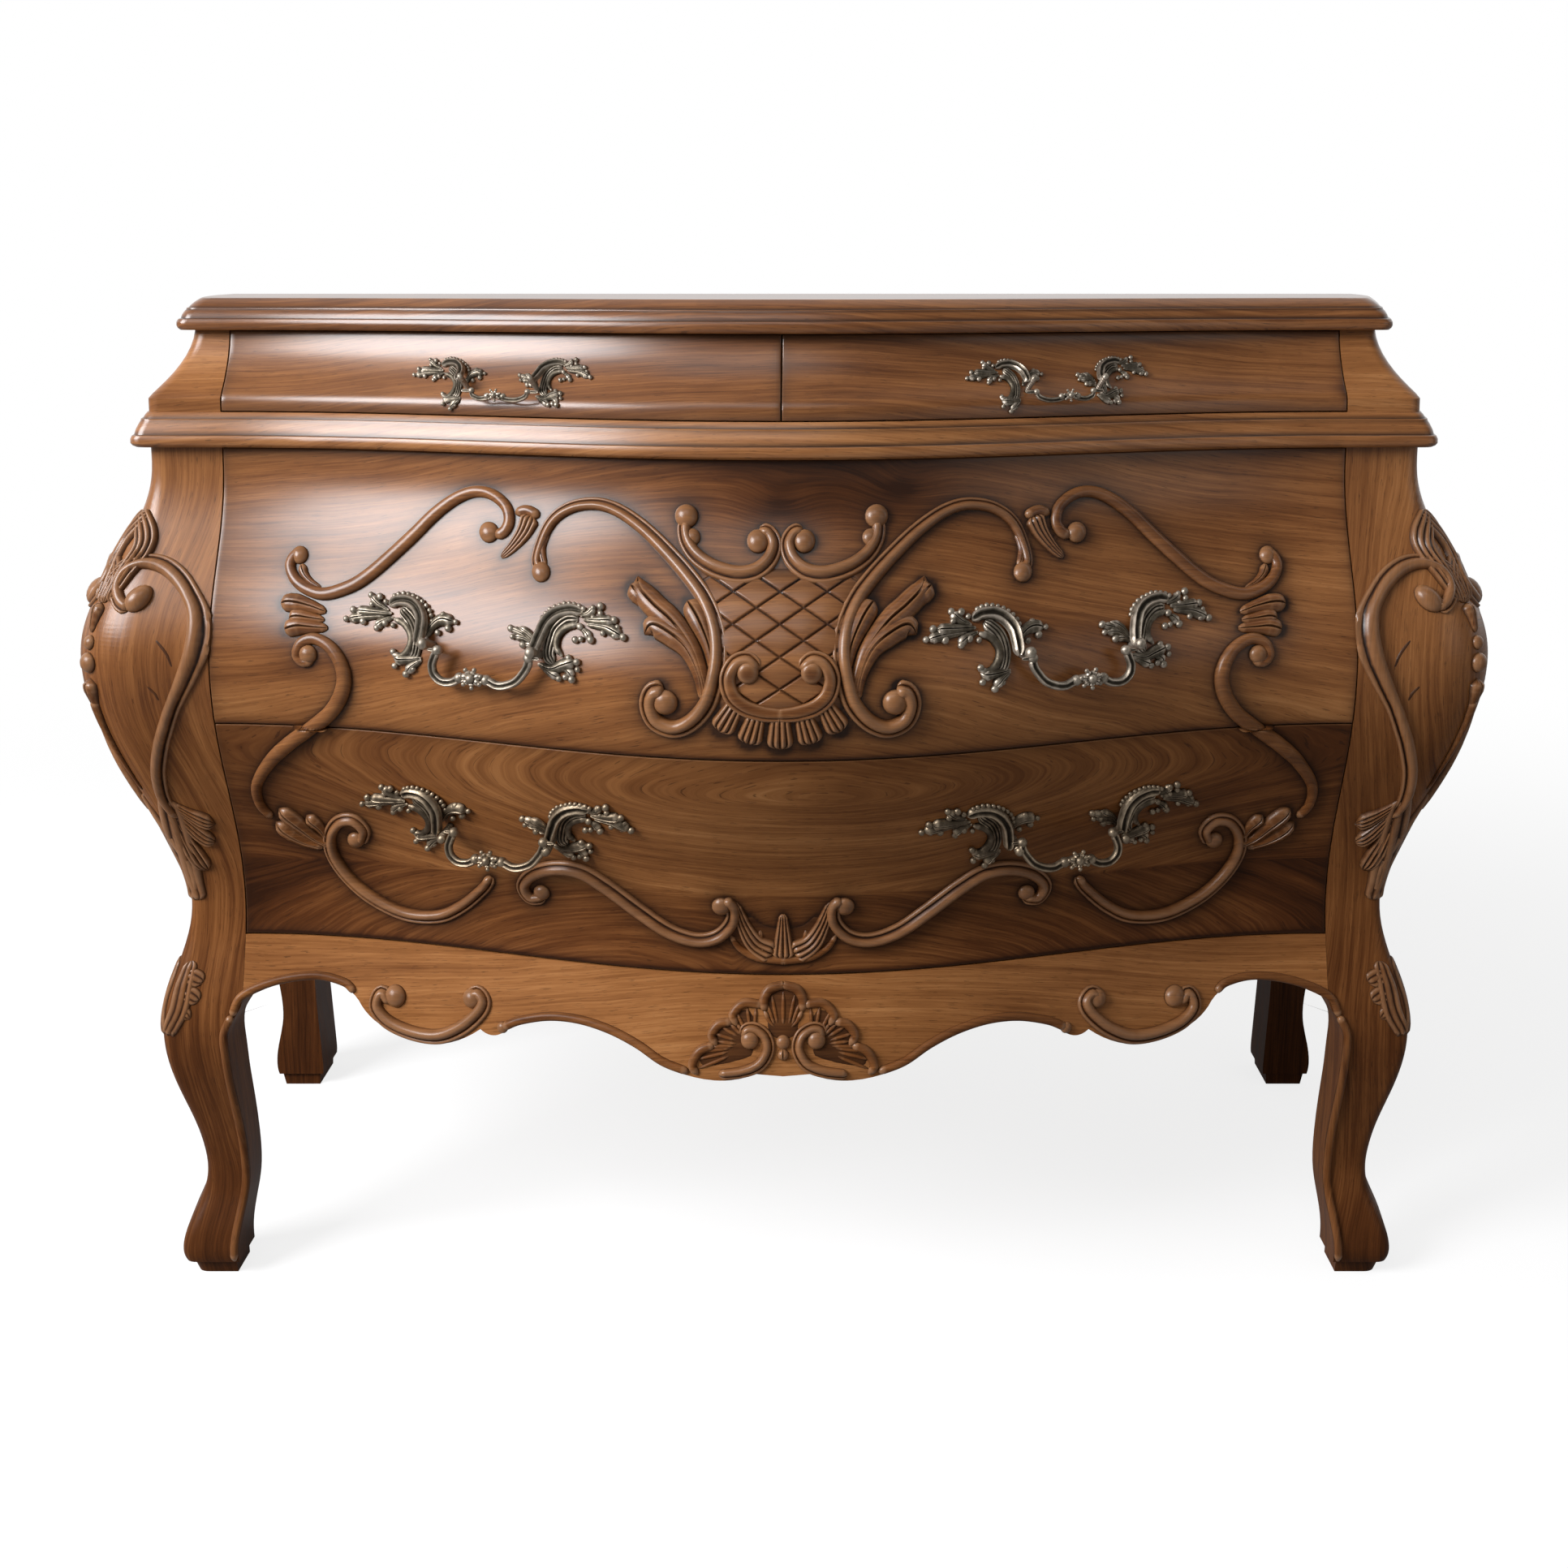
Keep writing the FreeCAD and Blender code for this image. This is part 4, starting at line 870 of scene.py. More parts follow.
STEPPED = [(-1.0, -0.4), (-1.0, 0.12), (-0.94, 0.5), (-0.78, 0.82), (-0.54, 1.02), (-0.26, 1.08),
           (0.02, 0.98), (0.24, 0.74), (0.38, 0.42), (0.46, 0.34), (0.56, 0.44), (0.72, 0.5), (0.88, 0.4),
           (0.98, 0.16), (1.0, -0.4)]
TWIN = [(-1.0, -0.4), (-1.0, 0.2), (-0.86, 0.62), (-0.62, 0.82), (-0.38, 0.66), (-0.18, 0.34), (0.0, 0.26),
        (0.18, 0.34), (0.38, 0.66), (0.62, 0.82), (0.86, 0.62), (1.0, 0.2), (1.0, -0.4)]
BAR = [(-0.92, -0.4), (-1.0, 0.1), (-0.84, 0.62), (-0.56, 0.82), (-0.28, 0.62), (0.0, 0.48), (0.28, 0.62),
       (0.56, 0.82), (0.84, 0.62), (1.0, 0.1), (0.92, -0.4), (0.5, -0.8), (-0.5, -0.8)]
SECTIONS = {
    "rope": section("section_rope", arch(1.12)),
    "left_step": section("section_left_step", STEPPED),
    "right_step": section("section_right_step", [(-across, up) for across, up in reversed(STEPPED)]),
    "leaf": section("section_leaf", veined(0.86, 0.3)),
    "ribbed": section("section_ribbed", ribbed(0.6, 4)),
    "flat": section("section_flat", ribbed(0.34, 3)),
    "plate": section("section_plate", arch(0.08)),
    "twin": section("section_twin", TWIN),
    "bar": section("section_bar", BAR),
}
print("sections", list(SECTIONS))

# %% [markdown]
# A carver's stroke changes in width as it runs. Each function below gives the share of the full
# width at a share of the way along, and a stroke is drawn with the one that fits its leaf or stem.

# %% Widths along a stroke
def even(share):
    return 1.0


def tapered(share):
    """Full in the middle and thinner toward both ends."""
    return 0.58 + 0.42 * math.sin(math.pi * share) ** 0.7


def headed(share):
    """A stem that swells to a blunt round head."""
    swell = 0.46 + 0.54 * min(share / 0.66, 1.0) ** 1.3
    tip = max(0.0, (share - 0.8) / 0.2)
    return swell * math.sqrt(max(0.02, 1 - tip * tip))


def fading(share):
    """Full at the start and thin at the end."""
    return 1.0 - 0.7 * share


def full(share):
    """Nearly even, a little thinner at both ends."""
    return 0.78 + 0.22 * math.sin(math.pi * share) ** 0.6


def growing(share):
    """Thin at the start and full from beyond the middle on."""
    return 0.56 + 0.44 * min(1.0, share / 0.6)


def lobed(share):
    """A lobe that widens to a round end."""
    end = max(0.0, (share - 0.72) / 0.28)
    return (0.62 + 0.38 * share) * math.sqrt(max(0.05, 1 - end * end))


WIDTHS = (even, tapered, headed, fading, full, growing, lobed)
print("widths halfway", {width.__name__: round(width(0.5), 2) for width in WIDTHS})

# %% [markdown]
# A carving is a set of such curves and of balls for the eyes of scrolls. They are joined flat,
# welded, and laid on the wood. Drawing flat keeps each stroke simple and lets one drawing serve
# for the left and the right side, or for all six pulls.

# %% Carving
BLUNT_SHARES = (0.45, 0.82, 1.0)
CARVING_WELD = 0.00001
SMOOTH_CARVING = 55.0
BALL_SEGMENTS = 18
BALL_RINGS = 10


class Carving:
    """Strokes and balls of one carving, drawn flat in millimetres: X across, Y up, Z off the wood."""

    def __init__(self, name, mirror=True):
        self.name = name
        self.sides = (1, -1) if mirror else (1,)
        self.drawn = []
        self.ground = []
        self.flat = None

    def stroke(self, points, half, cut="rope", width=even, lift=0.0, middle=False, open_end=False):
        """A cut along points, each with its own lift as a third value or the common one.
        Its last end is blunt, unless it is open and runs on into the next piece."""
        path = smooth_path([Vector((*point, lift)[:3]) for point in points])
        for side in (1,) if middle else self.sides:
            kind = cut
            if side < 0 and cut.endswith("step"):
                kind = "right_step" if cut == "left_step" else "left_step"
            data = bpy.data.curves.new(self.name, "CURVE")
            data.dimensions = "3D"
            data.twist_mode = "Z_UP"
            data.bevel_mode = "OBJECT"
            data.bevel_object = SECTIONS[kind]
            data.use_fill_caps = True
            spline = data.splines.new("POLY")
            spline.points.add(len(path) - 1)
            for index, (point, spot) in enumerate(zip(spline.points, path)):
                from_end = len(path) - 1 - index
                nearest = index if open_end else min(index, from_end)
                blunt = BLUNT_SHARES[min(nearest, len(BLUNT_SHARES) - 1)]
                radius = half * width(index / (len(path) - 1)) * blunt
                point.co = (side * spot.x * MM, spot.y * MM, spot.z * MM, 1.0)
                point.radius = radius
                self.ground.append((side * spot.x, spot.y, radius))
            curve = bpy.data.objects.new(self.name, data)
            scene.collection.objects.link(curve)
            self.drawn.append(curve)

    def ball(self, place, radius, height=0.78, lift=0.0, middle=False):
        """The round eye of a scroll, or a bud. Height is its rise as a share of its radius."""
        for side in (1,) if middle else self.sides:
            deselect_all()
            spot = (side * place[0] * MM, place[1] * MM, lift * MM)
            bpy.ops.mesh.primitive_uv_sphere_add(
                segments=BALL_SEGMENTS, ring_count=BALL_RINGS, radius=radius * MM, location=spot)
            sphere = bpy.context.active_object
            sphere.scale = (1.0, 1.0, height)
            self.drawn.append(sphere)
            self.ground.append((side * place[0], place[1], radius))

    def flatten(self):
        """Joins all that was drawn into one flat mesh."""
        deselect_all()
        for part in self.drawn:
            part.select_set(True)
        bpy.context.view_layer.objects.active = self.drawn[0]
        bpy.ops.object.convert(target="MESH")
        bpy.ops.object.transform_apply(location=True, rotation=True, scale=True)
        bpy.ops.object.join()
        joined = bpy.context.active_object
        self.flat = joined.data
        bpy.data.objects.remove(joined, do_unlink=True)

    def lay(self, surface, material, body, slot, name=None):
        """A copy of the carving, laid on a surface."""
        if self.flat is None:
            self.flatten()
        mesh = self.flat.copy()
        piece = bpy.data.objects.new(name or self.name, mesh)
        scene.collection.objects.link(piece)
        for vertex in mesh.vertices:
            x, y, lift = vertex.co / MM
            vertex.co = surface(x, y, lift) * MM
        mesh.update()
        edit_whole(piece, lambda: weld(CARVING_WELD), turn_outward)
        bpy.ops.object.shade_smooth_by_angle(angle=math.radians(SMOOTH_CARVING))
        mesh.materials.clear()
        mesh.materials.append(material)
        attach(piece, body)
        print(piece.name, "faces", len(mesh.polygons))
        return piece


# %% [markdown]
# Carvings are laid by surfaces: functions from a flat place and a lift to a point in space. The
# scroll that crosses the seam between the long drawers is cut flat there, once for each drawer.

# %% Surfaces of the front
SOFT_FRONT = 297.9
SOFT_ROOM = 3.0


def pressed(spot):
    """Presses the highest carving softly back, so that it stays inside the CAD box."""
    over = -spot.y - SOFT_FRONT
    if over > 0.0:
        spot.y = -SOFT_FRONT - SOFT_ROOM * (1 - math.exp(-over / SOFT_ROOM))
    return spot


def front_surface(x, z, lift):
    return pressed(on_front(x, z, lift))


DIVISION = 500.0
SEAM_HALF = 0.6


def above_division(x, z, lift):
    """The front, cut off flat at the middle drawer's lower edge."""
    return pressed(on_front(x, max(z, DIVISION + SEAM_HALF), lift))


def below_division(x, z, lift):
    """The front, cut off flat at the lower drawer's upper edge."""
    return on_front(x, min(z, DIVISION - SEAM_HALF), lift)


def seen(*pixels):
    """Places on the front under pixels of the photograph."""
    return [front_place(px, py) for px, py in pixels]


AXIS_PX = 962


def axis(*rows):
    """Places on the front's middle line, under rows of the photograph."""
    return [(0.0, front_place(AXIS_PX, row)[1]) for row in rows]


print("seam at", DIVISION, "axis meets the front at", axis(800))

# %% [markdown]
# Two centuries of waxing leave dark wax in hollows and bare wood on crests, and painted shade is
# laid in the hollows with the wax. Both can be read off the mesh: where a vertex lies below the
# mean of its neighbours it is a hollow, and above, a crest.

# %% Wear
CARVED_TONE = -0.06
CREST_START = 0.2
# How dark the wax and painted shade are at a carving's foot.
GROUND_WAX_AND_SHADE = 0.8


def mark_wear_and_shade(piece, ground, hollow_gain=11.0, crest_gain=8.0, tone=CARVED_TONE):
    """Dark wax and painted shade in hollows and near the ground, rubbed colour on crests."""
    mesh = piece.data
    count = len(mesh.vertices)
    sums = [Vector() for _ in range(count)]
    lengths = [0.0] * count
    for edge in mesh.edges:
        first, second = edge.vertices
        span = mesh.vertices[second].co - mesh.vertices[first].co
        sums[first] += span
        sums[second] -= span
        for end in (first, second):
            lengths[end] += span.length
    patina_and_shade = []
    rub = []
    for vertex in mesh.vertices:
        length = lengths[vertex.index]
        bend = sums[vertex.index].dot(vertex.normal) / length if length else 0.0
        depth = ground(vertex.co)
        patina_and_shade.append(min(1.0, max(0.0, bend * hollow_gain) + depth))
        rub.append(min(1.0, max(0.0, -bend * crest_gain - CREST_START)) * (1.0 - depth))
    set_values(mesh, "patina_and_shade", patina_and_shade)
    set_values(mesh, "tone", [tone] * count)
    set_values(mesh, "rub", rub)


WAX_DEPTH = 1.5


def ground_wax_and_shade(height):
    """Dark wax and painted shade on a carving's foot, fading with its height above the wood."""
    return GROUND_WAX_AND_SHADE * min(1.0, max(0.0, 1.0 - height / WAX_DEPTH))


def near_front(co):
    x, y, z = co / MM
    return ground_wax_and_shade(front_y(x, z) - y)


print("wax at the ground", ground_wax_and_shade(0.0))

# %% [markdown]
# The middle drawer carries a framed lattice with a scroll and leaves to each side. Only the left
# half is drawn, as places of the photograph, and mirrored. Rope strokes are stems, stepped ones
# are scrolls with a bead on one side, and ribbed ones are leaves.

# %% Middle drawer's carving
def carve_middle_drawer():
    carving = Carving("middle_drawer_carving")
    draw = carving.stroke
    draw(seen((376, 688), (366, 683), (358, 697), (365, 715), (381, 727), (402, 732), (432, 723), (455, 709),
              (482, 686), (510, 660), (535, 635), (558, 617), (579, 607), (597, 606), (613, 613), (625, 626),
              (628, 642), (622, 655), (610, 661)), 5.0, "rope", full)
    carving.ball(seen((370, 684))[0], 7.0)
    carving.ball(seen((603, 656))[0], 8.0)
    draw(seen((372, 696), (376, 708), (384, 717), (396, 724)), 4.4, "leaf", fading)
    draw(seen((668, 706), (661, 690), (671, 658), (684, 638), (702, 626), (722, 621), (744, 622), (768, 632),
              (796, 653), (824, 681), (850, 711), (870, 740), (883, 774), (886, 808), (881, 841), (871, 869),
              (852, 890), (830, 898), (808, 889), (799, 869), (804, 852), (818, 848)), 6.9, "right_step",
         growing)
    carving.ball(seen((667, 705))[0], 7.4)
    carving.ball(seen((820, 865))[0], 9.6)
    draw(seen((655, 636), (646, 656), (632, 674), (618, 687)), 8.6, "ribbed", fading)
    draw(seen((636, 633), (650, 629), (665, 636)), 4.2, "rope", full)
    draw(seen((672, 700), (668, 676), (676, 655)), 3.4, "leaf", tapered)
    leaves = (
        (((872, 866), (866, 836), (853, 800), (832, 770), (808, 748), (791, 728), (786, 710)), 9.4),
        (((868, 862), (862, 830), (848, 800), (826, 781), (806, 772), (794, 782)), 9.0),
        (((880, 826), (874, 795), (862, 765), (847, 740)), 8.6),
    )
    for path, half in leaves:
        draw(seen(*path), half, "leaf", headed)
    draw(seen((812, 756), (796, 742), (777, 720)), 7.8, "leaf", headed)
    draw(seen((848, 640), (843, 650), (846, 668), (858, 686), (880, 701), (908, 709), (932, 705), (949, 690),
              (955, 671), (948, 656), (936, 652)), 6.2, "left_step", full)
    carving.ball(seen((846, 636))[0], 9.0)
    carving.ball(seen((853, 662))[0], 6.4)
    carving.ball(seen((934, 667))[0], 8.6)
    draw(seen((936, 824), (922, 813), (906, 818), (897, 836), (902, 857), (918, 871), (940, 878)) + axis(880),
         6.2, "left_step", full, 3.0, open_end=True)
    carving.ball(seen((922, 829))[0], 8.0, 0.9, 3.6)
    for root, tip, half in (((908, 866), (887, 901), 10.6), ((933, 880), (922, 915), 10.8)):
        draw(seen(root, ((root[0] + tip[0]) / 2, (root[1] + tip[1]) / 2), tip), half, "ribbed", lobed, 0.6)
    draw(axis(882, 902, 922), 11.2, "ribbed", lobed, 0.8, middle=True)
    for path, half in ((((402, 754), (382, 747), (362, 743), (346, 744)), 7.4),
                       (((400, 764), (384, 762), (368, 760), (356, 762)), 6.4),
                       (((404, 774), (386, 773), (368, 772), (351, 776)), 7.4)):
        draw(seen(*path), half, "leaf", headed)
    draw(seen((386, 814), (374, 816), (366, 806), (372, 792), (388, 787), (406, 796), (419, 813), (425, 834),
              (421, 856), (408, 877), (388, 894), (370, 908)), 6.2, "rope", growing, open_end=True)
    carving.ball(seen((380, 806))[0], 7.6)
    return carving


middle_carving = carve_middle_drawer()
middle_relief = middle_carving.lay(above_division, wood_middle, "middle_drawer", "walnut")
mark_wear_and_shade(middle_relief, near_front)

# %% [markdown]
# The lower drawer continues the scroll, and ends in a small flame over the seam to the apron.

# %% Lower drawer's carving
def carve_lower_drawer():
    carving = Carving("lower_drawer_carving")
    draw = carving.stroke
    draw(seen((336, 1006), (321, 990), (317, 966), (333, 938), (356, 916), (378, 900), (398, 884)), 6.0,
         "rope", growing, open_end=True)
    for path, half in ((((408, 1042), (388, 1031), (366, 1012), (344, 996)), 7.8),
                       (((398, 1044), (376, 1036), (356, 1024), (340, 1012)), 7.0),
                       (((404, 1034), (394, 1018), (378, 1004)), 6.0)):
        draw(seen(*path), half, "leaf", headed)
    draw(seen((446, 1038), (450, 1022), (436, 1009), (418, 1011), (407, 1028), (410, 1052), (429, 1080),
              (459, 1106), (500, 1126), (541, 1129), (571, 1116), (597, 1094), (606, 1080)), 6.0, "left_step",
         full)
    carving.ball(seen((439, 1034))[0], 7.4)
    draw(seen((672, 1106), (654, 1106), (645, 1090), (658, 1075), (684, 1068), (716, 1072), (747, 1090),
              (787, 1120), (823, 1145), (857, 1157), (884, 1153), (901, 1136), (902, 1118), (892, 1108)), 6.4,
         "right_step", full)
    carving.ball(seen((668, 1099))[0], 7.0)
    carving.ball(seen((889, 1116))[0], 7.8)
    draw(seen((908, 1136), (930, 1158)) + axis(1164), 15.0, "plate", full, -0.4, open_end=True)
    draw(seen((952, 1174), (931, 1162), (917, 1140), (906, 1112)), 11.0, "ribbed", fading)
    draw(seen((944, 1174), (938, 1160), (937, 1146)), 5.6, "leaf", fading)
    draw(axis(1180, 1152, 1126), 10.0, "ribbed", fading, 0.6, middle=True)
    draw(seen((900, 1152), (912, 1168), (934, 1179)) + axis(1183), 3.6, "rope", growing, open_end=True)
    return carving


lower_carving = carve_lower_drawer()
lower_relief = lower_carving.lay(below_division, wood_lower, "lower_drawer", "walnut")
mark_wear_and_shade(lower_relief, near_front)

# %% [markdown]
# A bead follows the apron's lower edge and runs on down the inner edge of each leg. It is a piece
# of its own on the leg, so that its grain runs upright. A shell with two volutes is in the middle.

# %% Apron's carving
APRON_TONE = -0.15
APRON_BASE = 303.0
APRON_DROP = 80.5
KNEE_Z = 222.0
ARCH_Z = 251.5
LEG_WIDTH_STATIONS = ((0.0, 43.0), (22.0, 49.0), (86.0, 38.0), (222.0, 56.0))
BEAD_HALF = 3.4
BEAD_LEVELS = (16.0, 30.0, 50.0, 70.0, 86.0, 105.0, 125.0, 150.0, 175.0, 200.0, 222.0, 238.0)
ARCH_EDGE_SHARES = ((1.0, 0.645), (0.94, 0.5), (0.865, 0.43), (0.81, 0.475), (0.788, 0.56))
LONG_EDGE_SHARES = ((0.503, 0.74), (0.47, 0.65), (0.415, 0.575), (0.36, 0.57), (0.305, 0.63), (0.255, 0.74),
                    (0.21, 0.885), (0.165, 0.965))
SHELL_FOCUS = (928, 1288)
SHELL_RIMS = (
    ((860, 1323), (853, 1312), (862, 1295), (880, 1287)),
    ((883, 1288), (877, 1275), (886, 1262), (903, 1258)),
    ((908, 1263), (903, 1250), (917, 1236), (940, 1238)),
)
RIB_SHARES = (0.12, 0.35, 0.6, 0.85)


def leg_inner(z):
    """X of the front leg's inner edge below the arch, as the CAD source works it out."""
    if z <= KNEE_Z:
        return eased_at(CORNER_STATIONS, z) - eased_at(LEG_WIDTH_STATIONS, z)
    knee = eased_at(CORNER_STATIONS, KNEE_Z) - eased_at(LEG_WIDTH_STATIONS, KNEE_Z)
    share = (z - KNEE_Z) / (ARCH_Z - KNEE_Z)
    return knee + (OPENING - knee) * (1 - math.cos(math.pi * share)) / 2


def leg_bead(z):
    """Place of the bead that follows the leg's inner edge."""
    return (-(leg_inner(z) + BEAD_HALF), z)


def apron_edge(shares, rise):
    """Places above the apron's lower edge, from shares of the opening and of the apron's drop."""
    return [(-OPENING * across, APRON_BASE - APRON_DROP * down + rise) for across, down in shares]


def carve_shell(carving):
    """Scalloped lobes with ribs that gather behind two small volutes."""
    draw = carving.stroke
    focus = Vector(seen(SHELL_FOCUS)[0])
    for rim in SHELL_RIMS:
        places = seen(*rim)
        middle_place = Vector(places[1]).lerp(Vector(places[2]), 0.5)
        draw([focus, focus.lerp(middle_place, 0.5), focus.lerp(middle_place, 0.96)], 9.5, "plate", full, -0.4)
        draw(places, 3.6, "rope", full)
        outer = smooth_path([Vector((*place, 0.0)) for place in places])
        for share in RIB_SHARES:
            end = outer[round(share * (len(outer) - 1))].to_2d()
            draw([focus.lerp(end, 0.42), focus.lerp(end, 0.7), focus.lerp(end, 0.93)], 1.5, "rope", tapered)
    draw(axis(1280, 1250, 1218), 13.0, "plate", full, -0.4, middle=True)
    draw(seen((942, 1246), (941, 1232), (948, 1219)) + axis(1213), 3.8, "rope", full, open_end=True)
    draw(seen((942, 1246), (948, 1258), (955, 1266)), 2.4, "rope", fading)
    for top, foot in (((951, 1226), (958, 1262)), ((945, 1236), (954, 1262))):
        draw(seen(top, ((top[0] + foot[0]) / 2, (top[1] + foot[1]) / 2), foot), 1.5, "rope", tapered)
    draw(axis(1222, 1240, 1262), 1.7, "rope", tapered, middle=True)
    draw(seen((914, 1276), (920, 1267), (932, 1267), (944, 1277), (947, 1294), (936, 1312), (914, 1321),
              (886, 1324)), 5.0, "right_step", full)
    carving.ball(seen((924, 1281))[0], 7.4)
    carving.ball(axis(1284)[0], 5.6, middle=True)
    draw(axis(1292, 1306), 4.8, "leaf", full, middle=True)


def carve_apron():
    carving = Carving("apron_carving")
    draw = carving.stroke
    draw([leg_bead(BEAD_LEVELS[-1])] + apron_edge(ARCH_EDGE_SHARES, BEAD_HALF), BEAD_HALF, "rope", even)
    draw(seen((482, 1236), (474, 1222), (466, 1226), (464, 1242), (480, 1260), (510, 1273), (541, 1277),
              (569, 1267), (591, 1249), (598, 1234), (590, 1222), (578, 1226)), 6.4, "left_step", full)
    carving.ball(seen((488, 1227))[0], 9.0)
    carving.ball(seen((582, 1230))[0], 7.8)
    draw(apron_edge(LONG_EDGE_SHARES, BEAD_HALF), BEAD_HALF, "rope", even)
    carving.ball(apron_edge(LONG_EDGE_SHARES[:1], BEAD_HALF)[0], 4.6)
    carve_shell(carving)
    return carving


apron_carving = carve_apron()
leg_beads = Carving("leg_bead_carving")
leg_beads.stroke([leg_bead(z) for z in BEAD_LEVELS], BEAD_HALF, "rope", even, 0.3)
for carving, wood, tone in ((apron_carving, wood_case, APRON_TONE), (leg_beads, wood_upright, CARVED_TONE)):
    mark_wear_and_shade(carving.lay(front_surface, wood, "case", "walnut"), near_front, tone=tone)

# %% [markdown]
# Drawer fronts are boards bent to the same formula, with a rubbed arris all round. Old wax
# gathers where a brush can't reach, so each board is darker round its carving and along its edges;
# that darkening is painted shade as well as wax.

# %% Drawer boards
FRONT_THICKNESS = 24.0
ARRIS = 1.0
ARRIS_ROWS = (0.0, 0.2, 0.5, ARRIS)
ARRIS_RUB = 0.5
WAX_REACH = 2.2
WAX_CLOUD = 13.0
WAX_EDGE = 5.0
DENSE_WAX_AND_SHADE = 0.66
FAINT_WAX_AND_SHADE = 0.3
EDGE_WAX_AND_SHADE = 0.42
SMOOTH_BOARD = 40.0


def wax_and_shade_at(tree, reaches, x, z):
    """Dark wax and painted shade on the ground at a place: dense beside a stroke, faint further out."""
    wax = 0.0
    for spot, index, distance in tree.find_range((x, z, 0.0), 2 * WAX_CLOUD):
        clear = max(0.0, distance - reaches[index])
        dense = DENSE_WAX_AND_SHADE * math.exp(-clear / WAX_REACH)
        faint = FAINT_WAX_AND_SHADE * math.exp(-((clear / WAX_CLOUD) ** 2))
        wax = max(wax, dense + faint)
    return wax


def board_lines(start, end, pitch):
    """Places of a board's rows: close together on the arris, evenly spaced between."""
    count = max(2, round((end - start - 2 * ARRIS) / pitch))
    middle = [start + ARRIS + (end - start - 2 * ARRIS) * index / count for index in range(1, count)]
    return [start + step for step in ARRIS_ROWS] + middle + [end - step for step in reversed(ARRIS_ROWS)]


def bowed_board(drawer, material, across, up, pitch, strokes=None, shade=None, rings=None):
    """A drawer front over an X span and a Z span. Shade is how pale a place is, and rings
    the distance from the heart of the tree there."""
    xs = board_lines(*across, pitch)
    zs = board_lines(*up, pitch)
    deselect_all()
    bpy.ops.mesh.primitive_grid_add(x_subdivisions=len(xs) - 1, y_subdivisions=len(zs) - 1, size=2.0)
    board = bpy.context.active_object
    board.name = drawer + "_board"
    mesh = board.data
    wax = [0.0] * len(mesh.vertices)
    rub = [0.0] * len(mesh.vertices)
    tone = [0.0] * len(mesh.vertices)
    bend = [0.0] * len(mesh.vertices)
    tree = None
    if strokes:
        tree = KDTree(len(strokes))
        for index, (x, z, _) in enumerate(strokes):
            tree.insert((x, z, 0.0), index)
        tree.balance()
        reaches = [reach for _, _, reach in strokes]
    for vertex in mesh.vertices:
        column = round((vertex.co.x + 1) / 2 * (len(xs) - 1))
        row = round((vertex.co.y + 1) / 2 * (len(zs) - 1))
        x, z = xs[column], zs[row]
        from_edge = [min(x - xs[0], xs[-1] - x, ARRIS), min(z - zs[0], zs[-1] - z, ARRIS)]
        short = min(ARRIS, math.hypot(*(ARRIS - step for step in from_edge)))
        fall = ARRIS - math.sqrt(ARRIS * ARRIS - short * short)
        vertex.co = on_front(x, z) * MM
        vertex.co.y += fall * MM
        rub[vertex.index] = ARRIS_RUB * short / ARRIS
        inside = min(x - xs[0], xs[-1] - x, z - zs[0], zs[-1] - z)
        # Dark wax and painted shade along the board's edges and round its strokes.
        wax[vertex.index] = EDGE_WAX_AND_SHADE * math.exp(-max(0.0, inside - ARRIS) / WAX_EDGE)
        if tree:
            wax[vertex.index] = max(wax[vertex.index], wax_and_shade_at(tree, reaches, x, z))
        if shade:
            tone[vertex.index] = shade(x, z)
        if rings:
            bend[vertex.index] = (rings(x, z) - z) * MM
    mesh.update()
    for attribute, values in (("patina_and_shade", wax), ("rub", rub), ("tone", tone), ("bend", bend)):
        set_values(mesh, attribute, values)
    thick = {"value": (0.0, FRONT_THICKNESS * MM, 0.0)}
    edit_whole(board, lambda: bpy.ops.mesh.extrude_region_move(TRANSFORM_OT_translate=thick), turn_outward)
    bpy.ops.object.shade_smooth_by_angle(angle=math.radians(SMOOTH_BOARD))
    mesh.materials.append(material)
    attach(board, drawer)
    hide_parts(drawer + "_front")
    print(board.name, "faces", len(mesh.polygons))


# %% [markdown]
# The figure of the wood is part of the likeness. Shades darken a board at its knots, paint shade
# on the lower drawer's ends and shadow lines along the seams, and paint light on that drawer's middle.
# Rings bend its grain into the arcs and ovals that the photograph shows. Both are written to mesh
# attributes that the walnut material reads.

# %% Shades and rings
def knot(x, z, place, across, high):
    """Nearly 1 on a knot and fading round it."""
    return math.exp(-((x - place[0]) / across) ** 2 - ((z - place[1]) / high) ** 2)


MIDDLE_KNOTS = seen((960, 622), (1112, 602))
FRIEZE_KNOT = seen((1665, 480))[0]
JOINT_Z = 372.0
LOWER_EDGE = 304.0
SEAM_DARK = 0.5
MIDDLE_SEAM_REACH = 1.8
LOWER_SEAM_REACH = 1.6
KNOT_STAINS = ((0.16, 13.0, 9.0), (0.08, 70.0, 30.0))
MIDDLE_DARK_PLACES = [(place, *darkening) for place in MIDDLE_KNOTS for darkening in KNOT_STAINS]
# The top of the middle drawer is darker too, listed with the knots.
MIDDLE_DARK_PLACES.append(((0.0, 715.0), 0.12, 150.0, 45.0))
FRIEZE_STAINS = [(FRIEZE_KNOT, 0.22, 9.0, 7.0)]
GOLD_BELOW_Z = 565.0
GOLD_FADE = 40.0
GOLD = 0.05
LOWER_TONES = (-0.13, -0.02)
# Painted light in the middle of the lower drawer and painted shade at its ends.
LOWER_MIDDLE_PAINTED_LIGHT = 0.09
LOWER_ENDS_PAINTED_SHADE = 0.1
LOWER_REACH = 260.0
ENDS_FADE = 200.0
JOINT_DARK = 0.05
JOINT_REACH = 1.2


